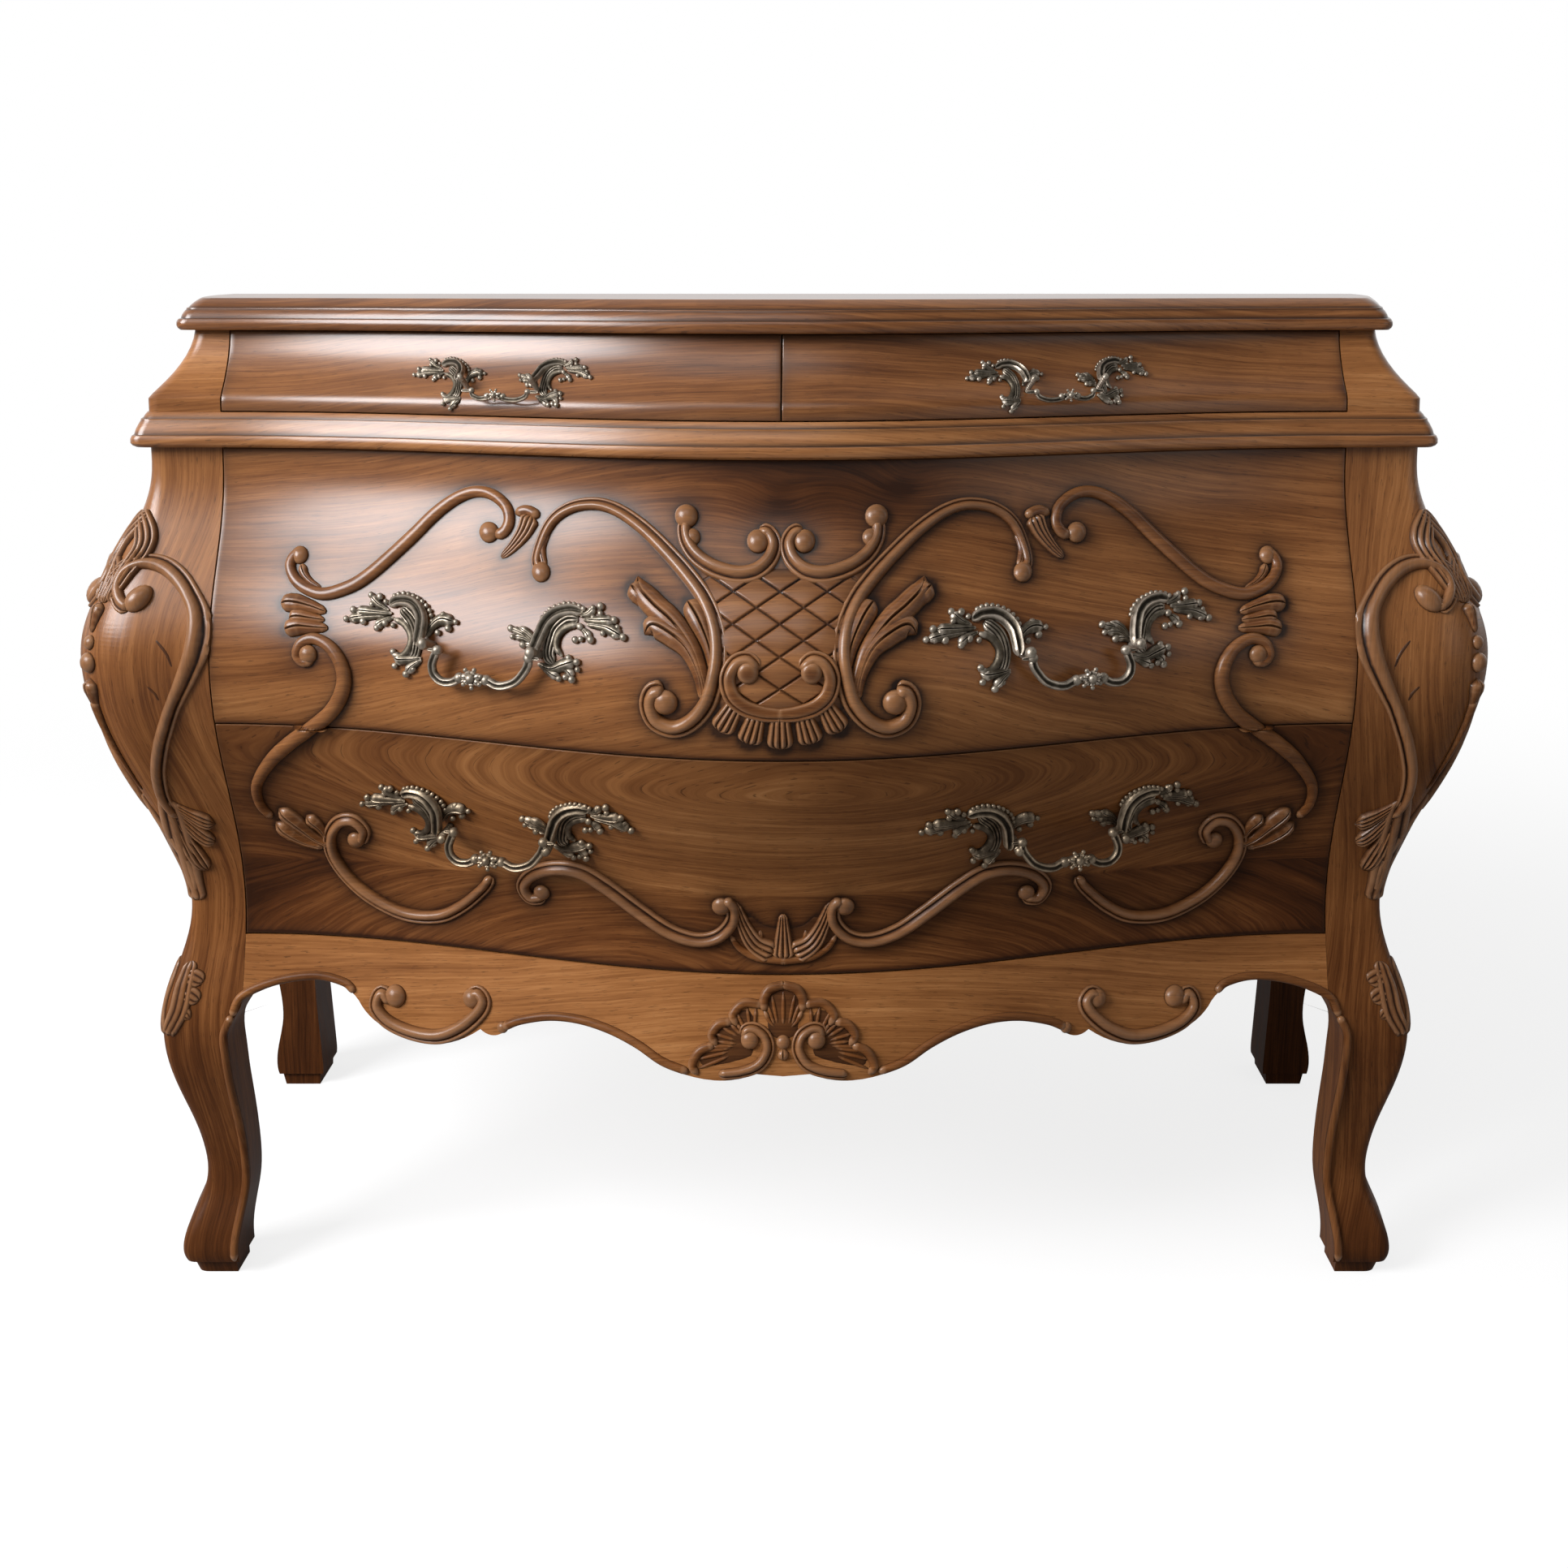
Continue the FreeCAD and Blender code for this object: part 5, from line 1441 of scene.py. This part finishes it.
def darkening_at(x, z, stains):
    """How much the listed dark places, knots among them, darken a place. Each has its centre, its strength
    and its two reaches.
    """
    return sum(dark * knot(x, z, place, across, high) for place, dark, across, high in stains)


def seam_dark(above, reach):
    """The shadow line at a board's lower edge."""
    return SEAM_DARK * math.exp(-above / reach)


def middle_shade(x, z):
    """Darker at the knots and in the middle, golden near the lower edge, with a painted shadow line under
    that edge.
    """
    dark = darkening_at(x, z, MIDDLE_DARK_PLACES)
    dark += (1 - 0.3 * abs(x) / OPENING) * seam_dark(z - DIVISION, MIDDLE_SEAM_REACH)
    return GOLD * max(0.0, min(1.0, (GOLD_BELOW_Z - z) / GOLD_FADE)) - dark


def lower_shade(x, z):
    """The lowest board of the drawer front is a darker one, glued on. The front's ends get painted shade, its
    middle painted light, and its lower edge a painted shadow line.
    """
    dark = JOINT_DARK * math.exp(-((z - JOINT_Z) / JOINT_REACH) ** 2)
    dark += LOWER_ENDS_PAINTED_SHADE * max(0.0, (abs(x) - LOWER_REACH) / ENDS_FADE)
    dark += seam_dark(z - LOWER_EDGE, LOWER_SEAM_REACH)
    return LOWER_TONES[z >= JOINT_Z] + LOWER_MIDDLE_PAINTED_LIGHT * math.exp(-(x / LOWER_REACH) ** 2) - dark


def frieze_shade(x, z):
    return -darkening_at(x, z, FRIEZE_STAINS)


def middle_rings(x, z):
    """Long arcs that rise to the middle and fall away to both sides, turned aside at the knots."""
    aside = sum(16.0 * knot(x, z, place, 34.0, 22.0) for place in MIDDLE_KNOTS)
    return math.hypot((x + 150.0) / 6.0, z - 380.0) + aside


def lower_rings(x, z):
    """Long ovals on the upper board and steep peaks on the lower one."""
    if z < JOINT_Z:
        return math.hypot((abs(x + 40.0) - 150.0) / 3.6, z - 285.0)
    return math.hypot((x - 40.0) / 10.0, z - 466.0)


print("knots at", MIDDLE_KNOTS, FRIEZE_KNOT)

# %% [markdown]
# One function bends all four boards. The long ones get a finer grid, because wax and shade are
# kept for each vertex. The shield counts as a stroke too, so wax gathers round it.

# %% Drawer fronts
EDGE = 458.2
FINE_PITCH = 2.6
FRIEZE_PITCH = 3.5
MIDDLE_SPAN = (500.5, 719.0)
LOWER_SPAN = (LOWER_EDGE, 499.5)
FRIEZE_SPAN = (748.8, 813.2)
BESIDE_DIVIDER = 0.5
SHIELD_REACH = (0.0, 560.0, 48.0)

bowed_board("middle_drawer", wood_middle, (-EDGE, EDGE), MIDDLE_SPAN, FINE_PITCH,
            middle_carving.ground + [SHIELD_REACH], middle_shade, middle_rings)
bowed_board("lower_drawer", wood_lower, (-EDGE, EDGE), LOWER_SPAN, FINE_PITCH,
            lower_carving.ground, lower_shade, lower_rings)
bowed_board("left_small_drawer", wood_frieze, (-EDGE, -BESIDE_DIVIDER), FRIEZE_SPAN, FRIEZE_PITCH,
            shade=frieze_shade)
bowed_board("right_small_drawer", wood_frieze, (BESIDE_DIVIDER, EDGE), FRIEZE_SPAN, FRIEZE_PITCH,
            shade=frieze_shade)

# %% [markdown]
# Inside its frame the lattice is a low domed shield cut by two sets of slanting knife lines. The
# CAD solid has the plain shield. A fine grid over it gets the dome, the cuts and a slight pillow
# between the cuts, all as real relief.

# %% Lattice panel
PANEL_HALF = 62.0
PANEL_LOW, PANEL_HIGH = 530.0, 640.0
PANEL_DOME = 3.6
LATTICE_SLOPE = 0.63
LATTICE_PITCH = 22.0
LATTICE_START = axis(771)[0][1]
CUT_HALF = 1.1
CUT_DEPTH = 1.6
PILLOW = 0.9
PANEL_COLUMNS = 180
PANEL_ROWS = 194
PANEL_NARROWING = 0.36
PANEL_SINK = 0.6
# Dark wax and painted shade in the knife cuts and round the rim.
CUT_WAX_AND_SHADE = 0.95
RIM_WAX_AND_SHADE = 0.8
PILLOW_RUB = 0.4
SMOOTH_PANEL = 50.0


def lattice_cut(x, z):
    """How deep the cut is at a place, from 0 to 1, and how far the pillow between the cuts rises."""
    steep = math.hypot(1.0, LATTICE_SLOPE)
    cut = 0.0
    pillow = 1.0
    for side in (1, -1):
        offset = (z - LATTICE_START + side * LATTICE_SLOPE * x) % LATTICE_PITCH
        near = min(offset, LATTICE_PITCH - offset)
        cut = max(cut, 1 - near / steep / CUT_HALF)
        pillow *= math.sin(math.pi * near / LATTICE_PITCH)
    return max(0.0, cut), math.sqrt(max(0.0, pillow))


def make_lattice():
    deselect_all()
    bpy.ops.mesh.primitive_grid_add(x_subdivisions=PANEL_COLUMNS, y_subdivisions=PANEL_ROWS, size=2.0)
    panel = bpy.context.active_object
    panel.name = "lattice_panel"
    mesh = panel.data
    wax = []
    rub = []
    for vertex in mesh.vertices:
        u, v = vertex.co.x, vertex.co.y
        z = (PANEL_LOW + PANEL_HIGH) / 2 + v * (PANEL_HIGH - PANEL_LOW) / 2
        narrow = 1 - PANEL_NARROWING * ((1 - v) / 2) ** 2
        x = u * PANEL_HALF * narrow
        dome = PANEL_DOME * (1 - u ** 4) * (1 - v ** 4) - PANEL_SINK * max(abs(u), abs(v)) ** 8
        cut, pillow = lattice_cut(x, z)
        vertex.co = on_front(x, z, dome + PILLOW * pillow - CUT_DEPTH * cut) * MM
        rim = max(abs(u), abs(v)) ** 6
        wax.append(min(1.0, CUT_WAX_AND_SHADE * cut ** 0.7 + RIM_WAX_AND_SHADE * rim))
        rub.append(PILLOW_RUB * pillow * (1 - rim))
    mesh.update()
    set_values(mesh, "patina_and_shade", wax)
    set_values(mesh, "rub", rub)
    edit_whole(panel, turn_outward)
    bpy.ops.object.shade_smooth_by_angle(angle=math.radians(SMOOTH_PANEL))
    mesh.materials.append(wood_middle)
    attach(panel, "middle_drawer")
    return panel


lattice = make_lattice()
front_facing = sum(polygon.normal.y for polygon in lattice.data.polygons)
if front_facing > 0:
    lattice.data.flip_normals()
print("lattice faces", len(lattice.data.polygons))

# %% [markdown]
# The carving on a corner post wraps round the corner. Its flat coordinates are the way round the
# post from its corner and the height. Rays from an upright line inside the post find the wood, so
# a stroke bends round the corner wherever the post swells, and keeps its width.

# %% Surface of a post
POST_CORE = 45.0
POST_ANGLES = [math.radians(-84 + 4 * index) for index in range(43)]
CORNER_TURN = math.radians(45.0)
ROW_STEP = 3.0
PROBE_ANGLE = 0.03
PROBE_RISE = 1.5
arc_rows = {}


def tree_of(node_name):
    node = nodes[node_name]
    mesh = node.data
    corners = [node.matrix_world @ vertex.co / MM for vertex in mesh.vertices]
    return BVHTree.FromPolygons(corners, [polygon.vertices[:] for polygon in mesh.polygons])


left_post_tree = tree_of("front_leg_left")


def post_core(z):
    half = half_width(z)
    return Vector((POST_CORE - half, BACK_Y + SETBACK - half + POST_CORE, z))


def post_hit(angle, z):
    """Where the left post's outside lies in a direction from its core. 0 is the corner, and positive
    angles are on the front."""
    turned = CORNER_TURN + angle
    ray = Vector((-math.cos(turned), -math.sin(turned), 0.0))
    hit = left_post_tree.ray_cast(post_core(z), ray)[0]
    return hit if hit is not None else post_core(z) + ray * POST_CORE


def arc_row(row):
    """Distances round the post from its corner, one for each of the angles, at a row of heights."""
    if row not in arc_rows:
        spots = [post_hit(angle, row * ROW_STEP) for angle in POST_ANGLES]
        lengths = [0.0]
        for first, second in zip(spots, spots[1:]):
            lengths.append(lengths[-1] + (second - first).length)
        corner = lengths[len(lengths) // 2]
        arc_rows[row] = [length - corner for length in lengths]
    return arc_rows[row]


def arcs_at(z):
    row, share = divmod(z / ROW_STEP, 1.0)
    return [low + (high - low) * share for low, high in zip(arc_row(int(row)), arc_row(int(row) + 1))]


def value_between(value, inputs, outputs):
    """Straight-line lookup of a value in rising inputs."""
    for index in range(1, len(inputs) - 1):
        if value < inputs[index]:
            break
    else:
        index = len(inputs) - 1
    share = (value - inputs[index - 1]) / (inputs[index] - inputs[index - 1])
    return outputs[index - 1] + (outputs[index] - outputs[index - 1]) * share


def left_post_surface(along, z, lift):
    angle = value_between(along, arcs_at(z), POST_ANGLES)
    across = post_hit(angle + PROBE_ANGLE, z) - post_hit(angle - PROBE_ANGLE, z)
    up = post_hit(angle, z + PROBE_RISE) - post_hit(angle, z - PROBE_RISE)
    normal = across.cross(up).normalized()
    spot = post_hit(angle, z)
    if normal.dot(spot - post_core(z)) < 0:
        normal.negate()
    return spot + normal * lift


def right_post_surface(along, z, lift):
    spot = left_post_surface(along, z, lift)
    return Vector((-spot.x, spot.y, spot.z))


def on_post(*pixels):
    """Flat places on the left post under pixels of the photograph."""
    places = []
    for px, py in pixels:
        hit = left_post_tree.ray_cast(CAMERA_MM, pixel_ray(px, py))[0]
        if hit is None:
            print("missed the post at", px, py)
            continue
        away = hit - post_core(hit.z)
        angle = math.atan2(-away.y, -away.x) - CORNER_TURN
        places.append((value_between(angle, POST_ANGLES, arcs_at(hit.z)), hit.z))
    return places


def on_ridge(*pixels):
    """Places on the post's corner line, at the heights under pixels of the photograph."""
    return [(0.0, z) for _, z in on_post(*pixels)]


print("post's corner at the belly", post_hit(0.0, 549.0))

# %% Post carvings
def carve_post(name):
    """Drawn on the front's side of the corner and mirrored on the other."""
    carving = Carving(name)
    draw = carving.stroke
    draw(on_post((158, 752), (147, 742), (144, 723), (155, 703), (178, 692), (204, 697), (226, 717),
                 (241, 745), (245, 775), (238, 811), (223, 848), (208, 886), (199, 919), (196, 952),
                 (203, 982), (220, 1006)), 6.2, "right_step", full)
    carving.ball(on_post((171, 738))[0], 10.4)
    for path, half, cut, width in (
            (((122, 738), (136, 706), (156, 668), (184, 630)), 9.6, "ribbed", tapered),
            (((124, 742), (140, 712), (160, 696), (184, 690)), 8.4, "ribbed", lobed),
            (((206, 984), (222, 1036), (234, 1076), (244, 1108)), 13.0, "flat", tapered),
            (((212, 990), (234, 1002), (252, 1010), (266, 1015)), 8.4, "ribbed", headed),
            (((214, 998), (234, 1016), (252, 1030), (266, 1037)), 8.6, "ribbed", headed),
            (((216, 1008), (232, 1036), (246, 1058), (256, 1072)), 8.8, "ribbed", headed)):
        draw(on_post(*path), half, cut, width)
    for start, end in (((190, 786), (213, 825)), ((178, 843), (197, 867))):
        draw(on_post(start, ((start[0] + end[0]) / 2 + 3, (start[1] + end[1]) / 2), end), 1.5, "rope",
             tapered, -1.2)
    carving.ball(on_ridge((127, 819))[0], 8.4, middle=True)
    carving.ball(on_ridge((118, 793))[0], 6.0, middle=True)
    draw(on_ridge((130, 876), (128, 856), (127, 838)), 7.6, "leaf", headed, middle=True)
    draw(on_ridge((127, 862), (132, 880), (145, 908), (166, 944), (186, 974)), 4.4, "rope", fading,
         middle=True)
    draw(on_ridge((118, 780), (121, 760), (124, 742)), 6.6, "leaf", headed, middle=True)
    for path, half in ((((236, 1184), (228, 1212), (220, 1246), (214, 1278)), 9.0),
                       (((228, 1200), (238, 1204), (250, 1210)), 7.0),
                       (((224, 1222), (234, 1226), (245, 1233)), 7.0),
                       (((218, 1242), (226, 1247), (234, 1255)), 5.6)):
        draw(on_post(*path), half, "flat", tapered)
    return carving


post_carving = carve_post("post_carving")


def near_post(co):
    spot = Vector((-abs(co.x), co.y, co.z)) / MM
    return ground_wax_and_shade(left_post_tree.find_nearest(spot)[3])


for side, surface in (("left", left_post_surface), ("right", right_post_surface)):
    relief = post_carving.lay(surface, wood_upright, "case", "walnut", "front_leg_" + side + "_carving")
    mark_wear_and_shade(relief, near_post)

# %% [markdown]
# Each pull is a cast bail between two leafy scroll mounts. The mounts are drawn once over the
# photographed left pull of the middle drawer and laid on the fronts six times, smaller on the
# small drawers. The bail is drawn in its own hanging plane, through the line of its two pins.

# %% Pull drawing
PULL_HOME = (-226.0, 574.0)
NECK_PIXELS = (
    ((481, 746), (492, 741), (506, 742), (517, 750), (524, 764), (525, 780), (524, 796)),
    ((719, 755), (705, 752), (689, 756), (677, 767), (670, 784), (666, 798), (663, 808)),
)
MOUNT_STROKES = (
    (5.4, "ribbed", 0.2, ((495, 750), (509, 767), (514, 787), (512, 804), (506, 812))),
    (5.8, "ribbed", 0.2, ((713, 763), (699, 764), (686, 775), (680, 790), (677, 807), (682, 818))),
    (2.8, "rope", 1.2, ((487, 763), (500, 770), (508, 784), (506, 798), (497, 808), (487, 806), (487, 801))),
    (2.6, "rope", 1.2, ((714, 770), (699, 774), (689, 784), (687, 798), (694, 809))),
    (4.8, "leaf", 1.4, ((526, 786), (535, 771), (547, 764), (562, 767))),
    (4.4, "leaf", 1.0, ((520, 811), (506, 812), (493, 812), (486, 809))),
    (4.2, "leaf", 0.8, ((520, 813), (510, 820), (502, 829))),
    (3.6, "leaf", 1.0, ((480, 752), (468, 745), (459, 735))),
    (4.4, "leaf", 1.4, ((484, 756), (464, 755), (439, 753))),
    (3.8, "leaf", 1.0, ((486, 761), (473, 766), (464, 773))),
    (4.2, "leaf", 0.8, ((474, 759), (450, 760), (430, 763))),
    (3.2, "leaf", 1.4, ((664, 798), (648, 783), (631, 775))),
    (3.0, "leaf", 1.8, ((664, 800), (650, 788), (634, 785))),
    (3.0, "leaf", 2.2, ((664, 796), (655, 783), (641, 773))),
    (3.0, "leaf", 1.0, ((666, 803), (657, 796), (646, 794))),
    (4.8, "leaf", 1.2, ((664, 818), (680, 824), (694, 820), (710, 815))),
    (4.0, "leaf", 0.8, ((668, 822), (682, 830), (691, 835))),
    (3.6, "leaf", 1.0, ((692, 822), (703, 828), (706, 835))),
    (3.4, "leaf", 1.0, ((716, 760), (727, 756), (734, 749))),
    (4.4, "leaf", 1.4, ((720, 764), (738, 766), (757, 766))),
    (4.4, "leaf", 1.0, ((724, 770), (747, 774), (768, 785))),
    (3.6, "leaf", 1.0, ((716, 774), (724, 781), (728, 789))),
)
RIM_PIXELS = (
    (488, 735), (493, 733), (499, 732), (505, 733), (511, 735), (517, 738), (522, 742), (527, 747),
    (531, 753), (533, 759), (534, 766), (668, 768), (670, 762), (674, 757), (679, 752), (685, 749),
    (691, 747), (697, 745), (703, 745), (709, 746), (715, 748), (720, 751),
)
BUD_PIXELS = (
    (459, 734), (470, 736), (477, 742), (437, 752), (428, 763), (438, 765), (449, 766), (453, 752),
    (466, 774), (476, 768), (486, 771), (445, 757), (460, 745), (541, 780), (554, 775), (563, 767),
    (548, 759), (488, 820), (494, 816), (502, 830), (511, 824), (486, 803), (631, 775), (633, 785),
    (646, 795), (690, 836), (698, 834), (706, 837), (713, 825), (712, 816), (702, 811), (732, 750),
    (741, 748), (741, 757), (750, 764), (758, 765), (762, 774), (769, 786), (758, 784), (744, 781),
    (729, 789), (717, 788), (710, 789), (716, 773), (732, 762),
)


print("strokes", len(MOUNT_STROKES), "beads", len(RIM_PIXELS), "buds", len(BUD_PIXELS))

# %% Pull mounts
EAR = 3.9
NECK_HALF = 4.6
NECK_FOOT = 1.0
NECK_TOP = 4.0
RIM_BEAD = 1.9
BUD = 2.5
BUD_CHANGE = 0.4
PIN_FOOT = 3.0
PIN_GROWTH = 0.15
PIN_LEVELS = 7
METAL_GAIN = 5.0


def from_pull(*pixels):
    """Places relative to the middle of the photographed pull."""
    return [(x - PULL_HOME[0], z - PULL_HOME[1]) for x, z in seen(*pixels)]


def draw_mounts(pin, standoff):
    carving = Carving("pull_mounts", mirror=False)
    for half, cut, lift, pixels in MOUNT_STROKES:
        width = headed if cut == "leaf" else full
        carving.stroke(from_pull(*pixels), half, cut, width, lift)
    for necks in NECK_PIXELS:
        places = from_pull(*necks)
        climb = standoff - NECK_FOOT - NECK_TOP
        rising = [(x, z, NECK_FOOT + climb * (index / (len(places) - 1)) ** 2)
                  for index, (x, z) in enumerate(places)]
        carving.stroke(rising, NECK_HALF, "twin", full)
    for spot in RIM_PIXELS:
        carving.ball(from_pull(spot)[0], RIM_BEAD, 1.0, 2.0)
    for index, spot in enumerate(BUD_PIXELS):
        carving.ball(from_pull(spot)[0], BUD + BUD_CHANGE * math.sin(index * 2.4), 1.0, 1.8)
    for side in (-1, 1):
        for level in range(PIN_LEVELS):
            carving.ball((side * pin, 0.0), PIN_FOOT + PIN_GROWTH * level, 1.0, standoff * level / PIN_LEVELS)
        carving.ball((side * pin, 0.0), EAR, 1.0, standoff)
    return carving


class Pull:
    """Sizes of one kind of pull, in millimetres."""

    def __init__(self, span, standoff, scale, bar, path, flower, petals):
        self.span = span
        self.standoff = standoff
        self.scale = scale
        self.bar = bar
        self.path = path
        self.flower = flower
        self.petals = petals
        self.mounts = draw_mounts(span / 2 / scale, standoff / scale)
        self.bails = {}


long_pull = Pull(88.0, 16.0, 1.0, 3.4, ((-40, 0), (-43, -6), (-45, -12), (-43.5, -19), (-37, -24), (-28, -24),
                                        (-20, -20.5), (-9, -18.5), (4, -20.5), (12, -23.3), (20, -22.5),
                                        (29, -18.5), (36, -11), (39.5, -5), (40, 0)), (-9, -19), 9.0)
small_pull = Pull(58.0, 17.0, 0.65, 2.1, ((-24.6, 0), (-24, -3.5), (-18, -6), (-10, -5), (-4, -3), (5, -6),
                                          (14, -6.5), (22, -4), (24.6, 0)), (-4, -3), 5.4)
print("mounts drawn for spans", long_pull.span, small_pull.span)

# %% [markdown]
# The bail is one bar, bent to hang low in the middle, with a flower where the real casting has a
# knot. The flower sits off the middle, so the bails on the left and on the right differ.

# %% Bails
FULL_TURN = 2 * math.pi
PETALS = 7
FIRST_PETAL = 0.3
PETAL_SQUASH_SHARE = 0.8
PETAL_WIDTH_SHARE = 0.36
PETAL_TIP_SHARE = 0.2
HEART_SHARE = 0.4
KNUCKLE_SHARE = 1.3
KNUCKLE_BAR_SHARE = 1.25
PIN_HALF = 1.5
PIN_LENGTH = 9


def draw_bail(pull, side):
    """A bail in its own plane; its flower hangs nearer the chest's outer side."""
    carving = Carving("bail", mirror=False)
    path = [(-side * u, v) for u, v in pull.path]
    carving.stroke(path, pull.bar, "bar", even)
    for end in (path[0], path[-1]):
        carving.ball(end, pull.bar * 1.2, 1.0)
        outward = math.copysign(1.0, end[0])
        pin = [end, (end[0] + outward * 4, 0.0), (end[0] + outward * PIN_LENGTH, 0.0)]
        carving.stroke(pin, PIN_HALF, "bar", even)
    centre = Vector((-side * pull.flower[0], pull.flower[1]))
    for index in range(PETALS):
        turn = FULL_TURN * index / PETALS + FIRST_PETAL
        tip = centre + Vector((math.cos(turn), PETAL_SQUASH_SHARE * math.sin(turn))) * pull.petals
        root = centre.lerp(tip, 0.15)
        petal = [root, root.lerp(tip, 0.5), tip]
        carving.stroke(petal, pull.petals * PETAL_WIDTH_SHARE, "leaf", headed, pull.bar * 0.75)
        carving.ball(tip, pull.petals * PETAL_TIP_SHARE, 1.0, pull.bar * 0.9)
    carving.ball(centre, pull.petals * HEART_SHARE, 1.0, pull.bar * 1.2)
    for along in (-1, 1):
        knuckle = centre + Vector((along * pull.petals * KNUCKLE_SHARE, -1.0))
        carving.ball(knuckle, pull.bar * KNUCKLE_BAR_SHARE, 1.0)
    return carving


# %% [markdown]
# A pull is laid as two pieces. Both mounts lie on the swelling front and move with the drawer. The
# bail keeps to its flat plane and swings on a body of its own.

# %% Six pulls on their drawers
def on_pull_front(centre, scale):
    def surface(x, z, lift):
        return on_front(centre[0] + x * scale, centre[1] + z * scale, lift * scale)
    return surface


def in_bail_plane(centre, pull):
    """The plane that hangs from the line of the two pins."""
    pins = []
    for side in (-1, 1):
        x = centre[0] + side * pull.span / 2
        pins.append(Vector((x, front_y(x, centre[1]) - pull.standoff, centre[1])))
    middle = (pins[0] + pins[1]) / 2
    along = (pins[1] - pins[0]).normalized()
    out = Vector((along.y, -along.x, 0.0))

    def surface(u, v, lift):
        return middle + along * u + Vector((0.0, 0.0, v)) + out * lift
    return surface


LOWER_PULL_Z = 416.0
MIDDLE_PULL_Z = PULL_HOME[1]
SMALL_PULL_Z = 769.0
LONG_PULL_X = -PULL_HOME[0]
SMALL_PULL_X = 220.0


def far_from_wood(co):
    """A bail hangs free, so no wax lies at its foot."""
    return 0.0


def hang_pull(name, drawer, bail_body, centre, pull, metal):
    """Lays one pull's mounts on its drawer and hangs its bail."""
    slot = "brass_worn" if metal is brass_brown else "brass"
    mounts = pull.mounts.lay(on_pull_front(centre, pull.scale), metal, drawer, slot, name + "_mounts_cast")
    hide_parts(name + "_mounts")
    mark_wear_and_shade(mounts, near_front, METAL_GAIN, METAL_GAIN)
    side = 1 if centre[0] > 0 else -1
    if side not in pull.bails:
        pull.bails[side] = draw_bail(pull, side)
    bail = pull.bails[side].lay(in_bail_plane(centre, pull), metal, bail_body, slot, name + "_bail_cast")
    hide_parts(name + "_bail")
    mark_wear_and_shade(bail, far_from_wood, METAL_GAIN, METAL_GAIN)


for row, height, metal in (("lower", LOWER_PULL_Z, brass_brown), ("middle", MIDDLE_PULL_Z, brass_grey)):
    for side, x in (("left", -LONG_PULL_X), ("right", LONG_PULL_X)):
        drawer = row + "_drawer"
        hang_pull(drawer + "_" + side + "_pull", drawer, row + "_" + side + "_bail", (x, height), long_pull,
                  metal)
for side, x in (("left", -SMALL_PULL_X), ("right", SMALL_PULL_X)):
    drawer = side + "_small_drawer"
    hang_pull(drawer + "_pull", drawer, side + "_small_bail", (x, SMALL_PULL_Z), small_pull, brass_grey)

# %% [markdown]
# Last, the outlines that served as sections are removed. The second must lie inside the first.

# %% Close the scene
for outline in SECTIONS.values():
    bpy.data.objects.remove(outline, do_unlink=True)
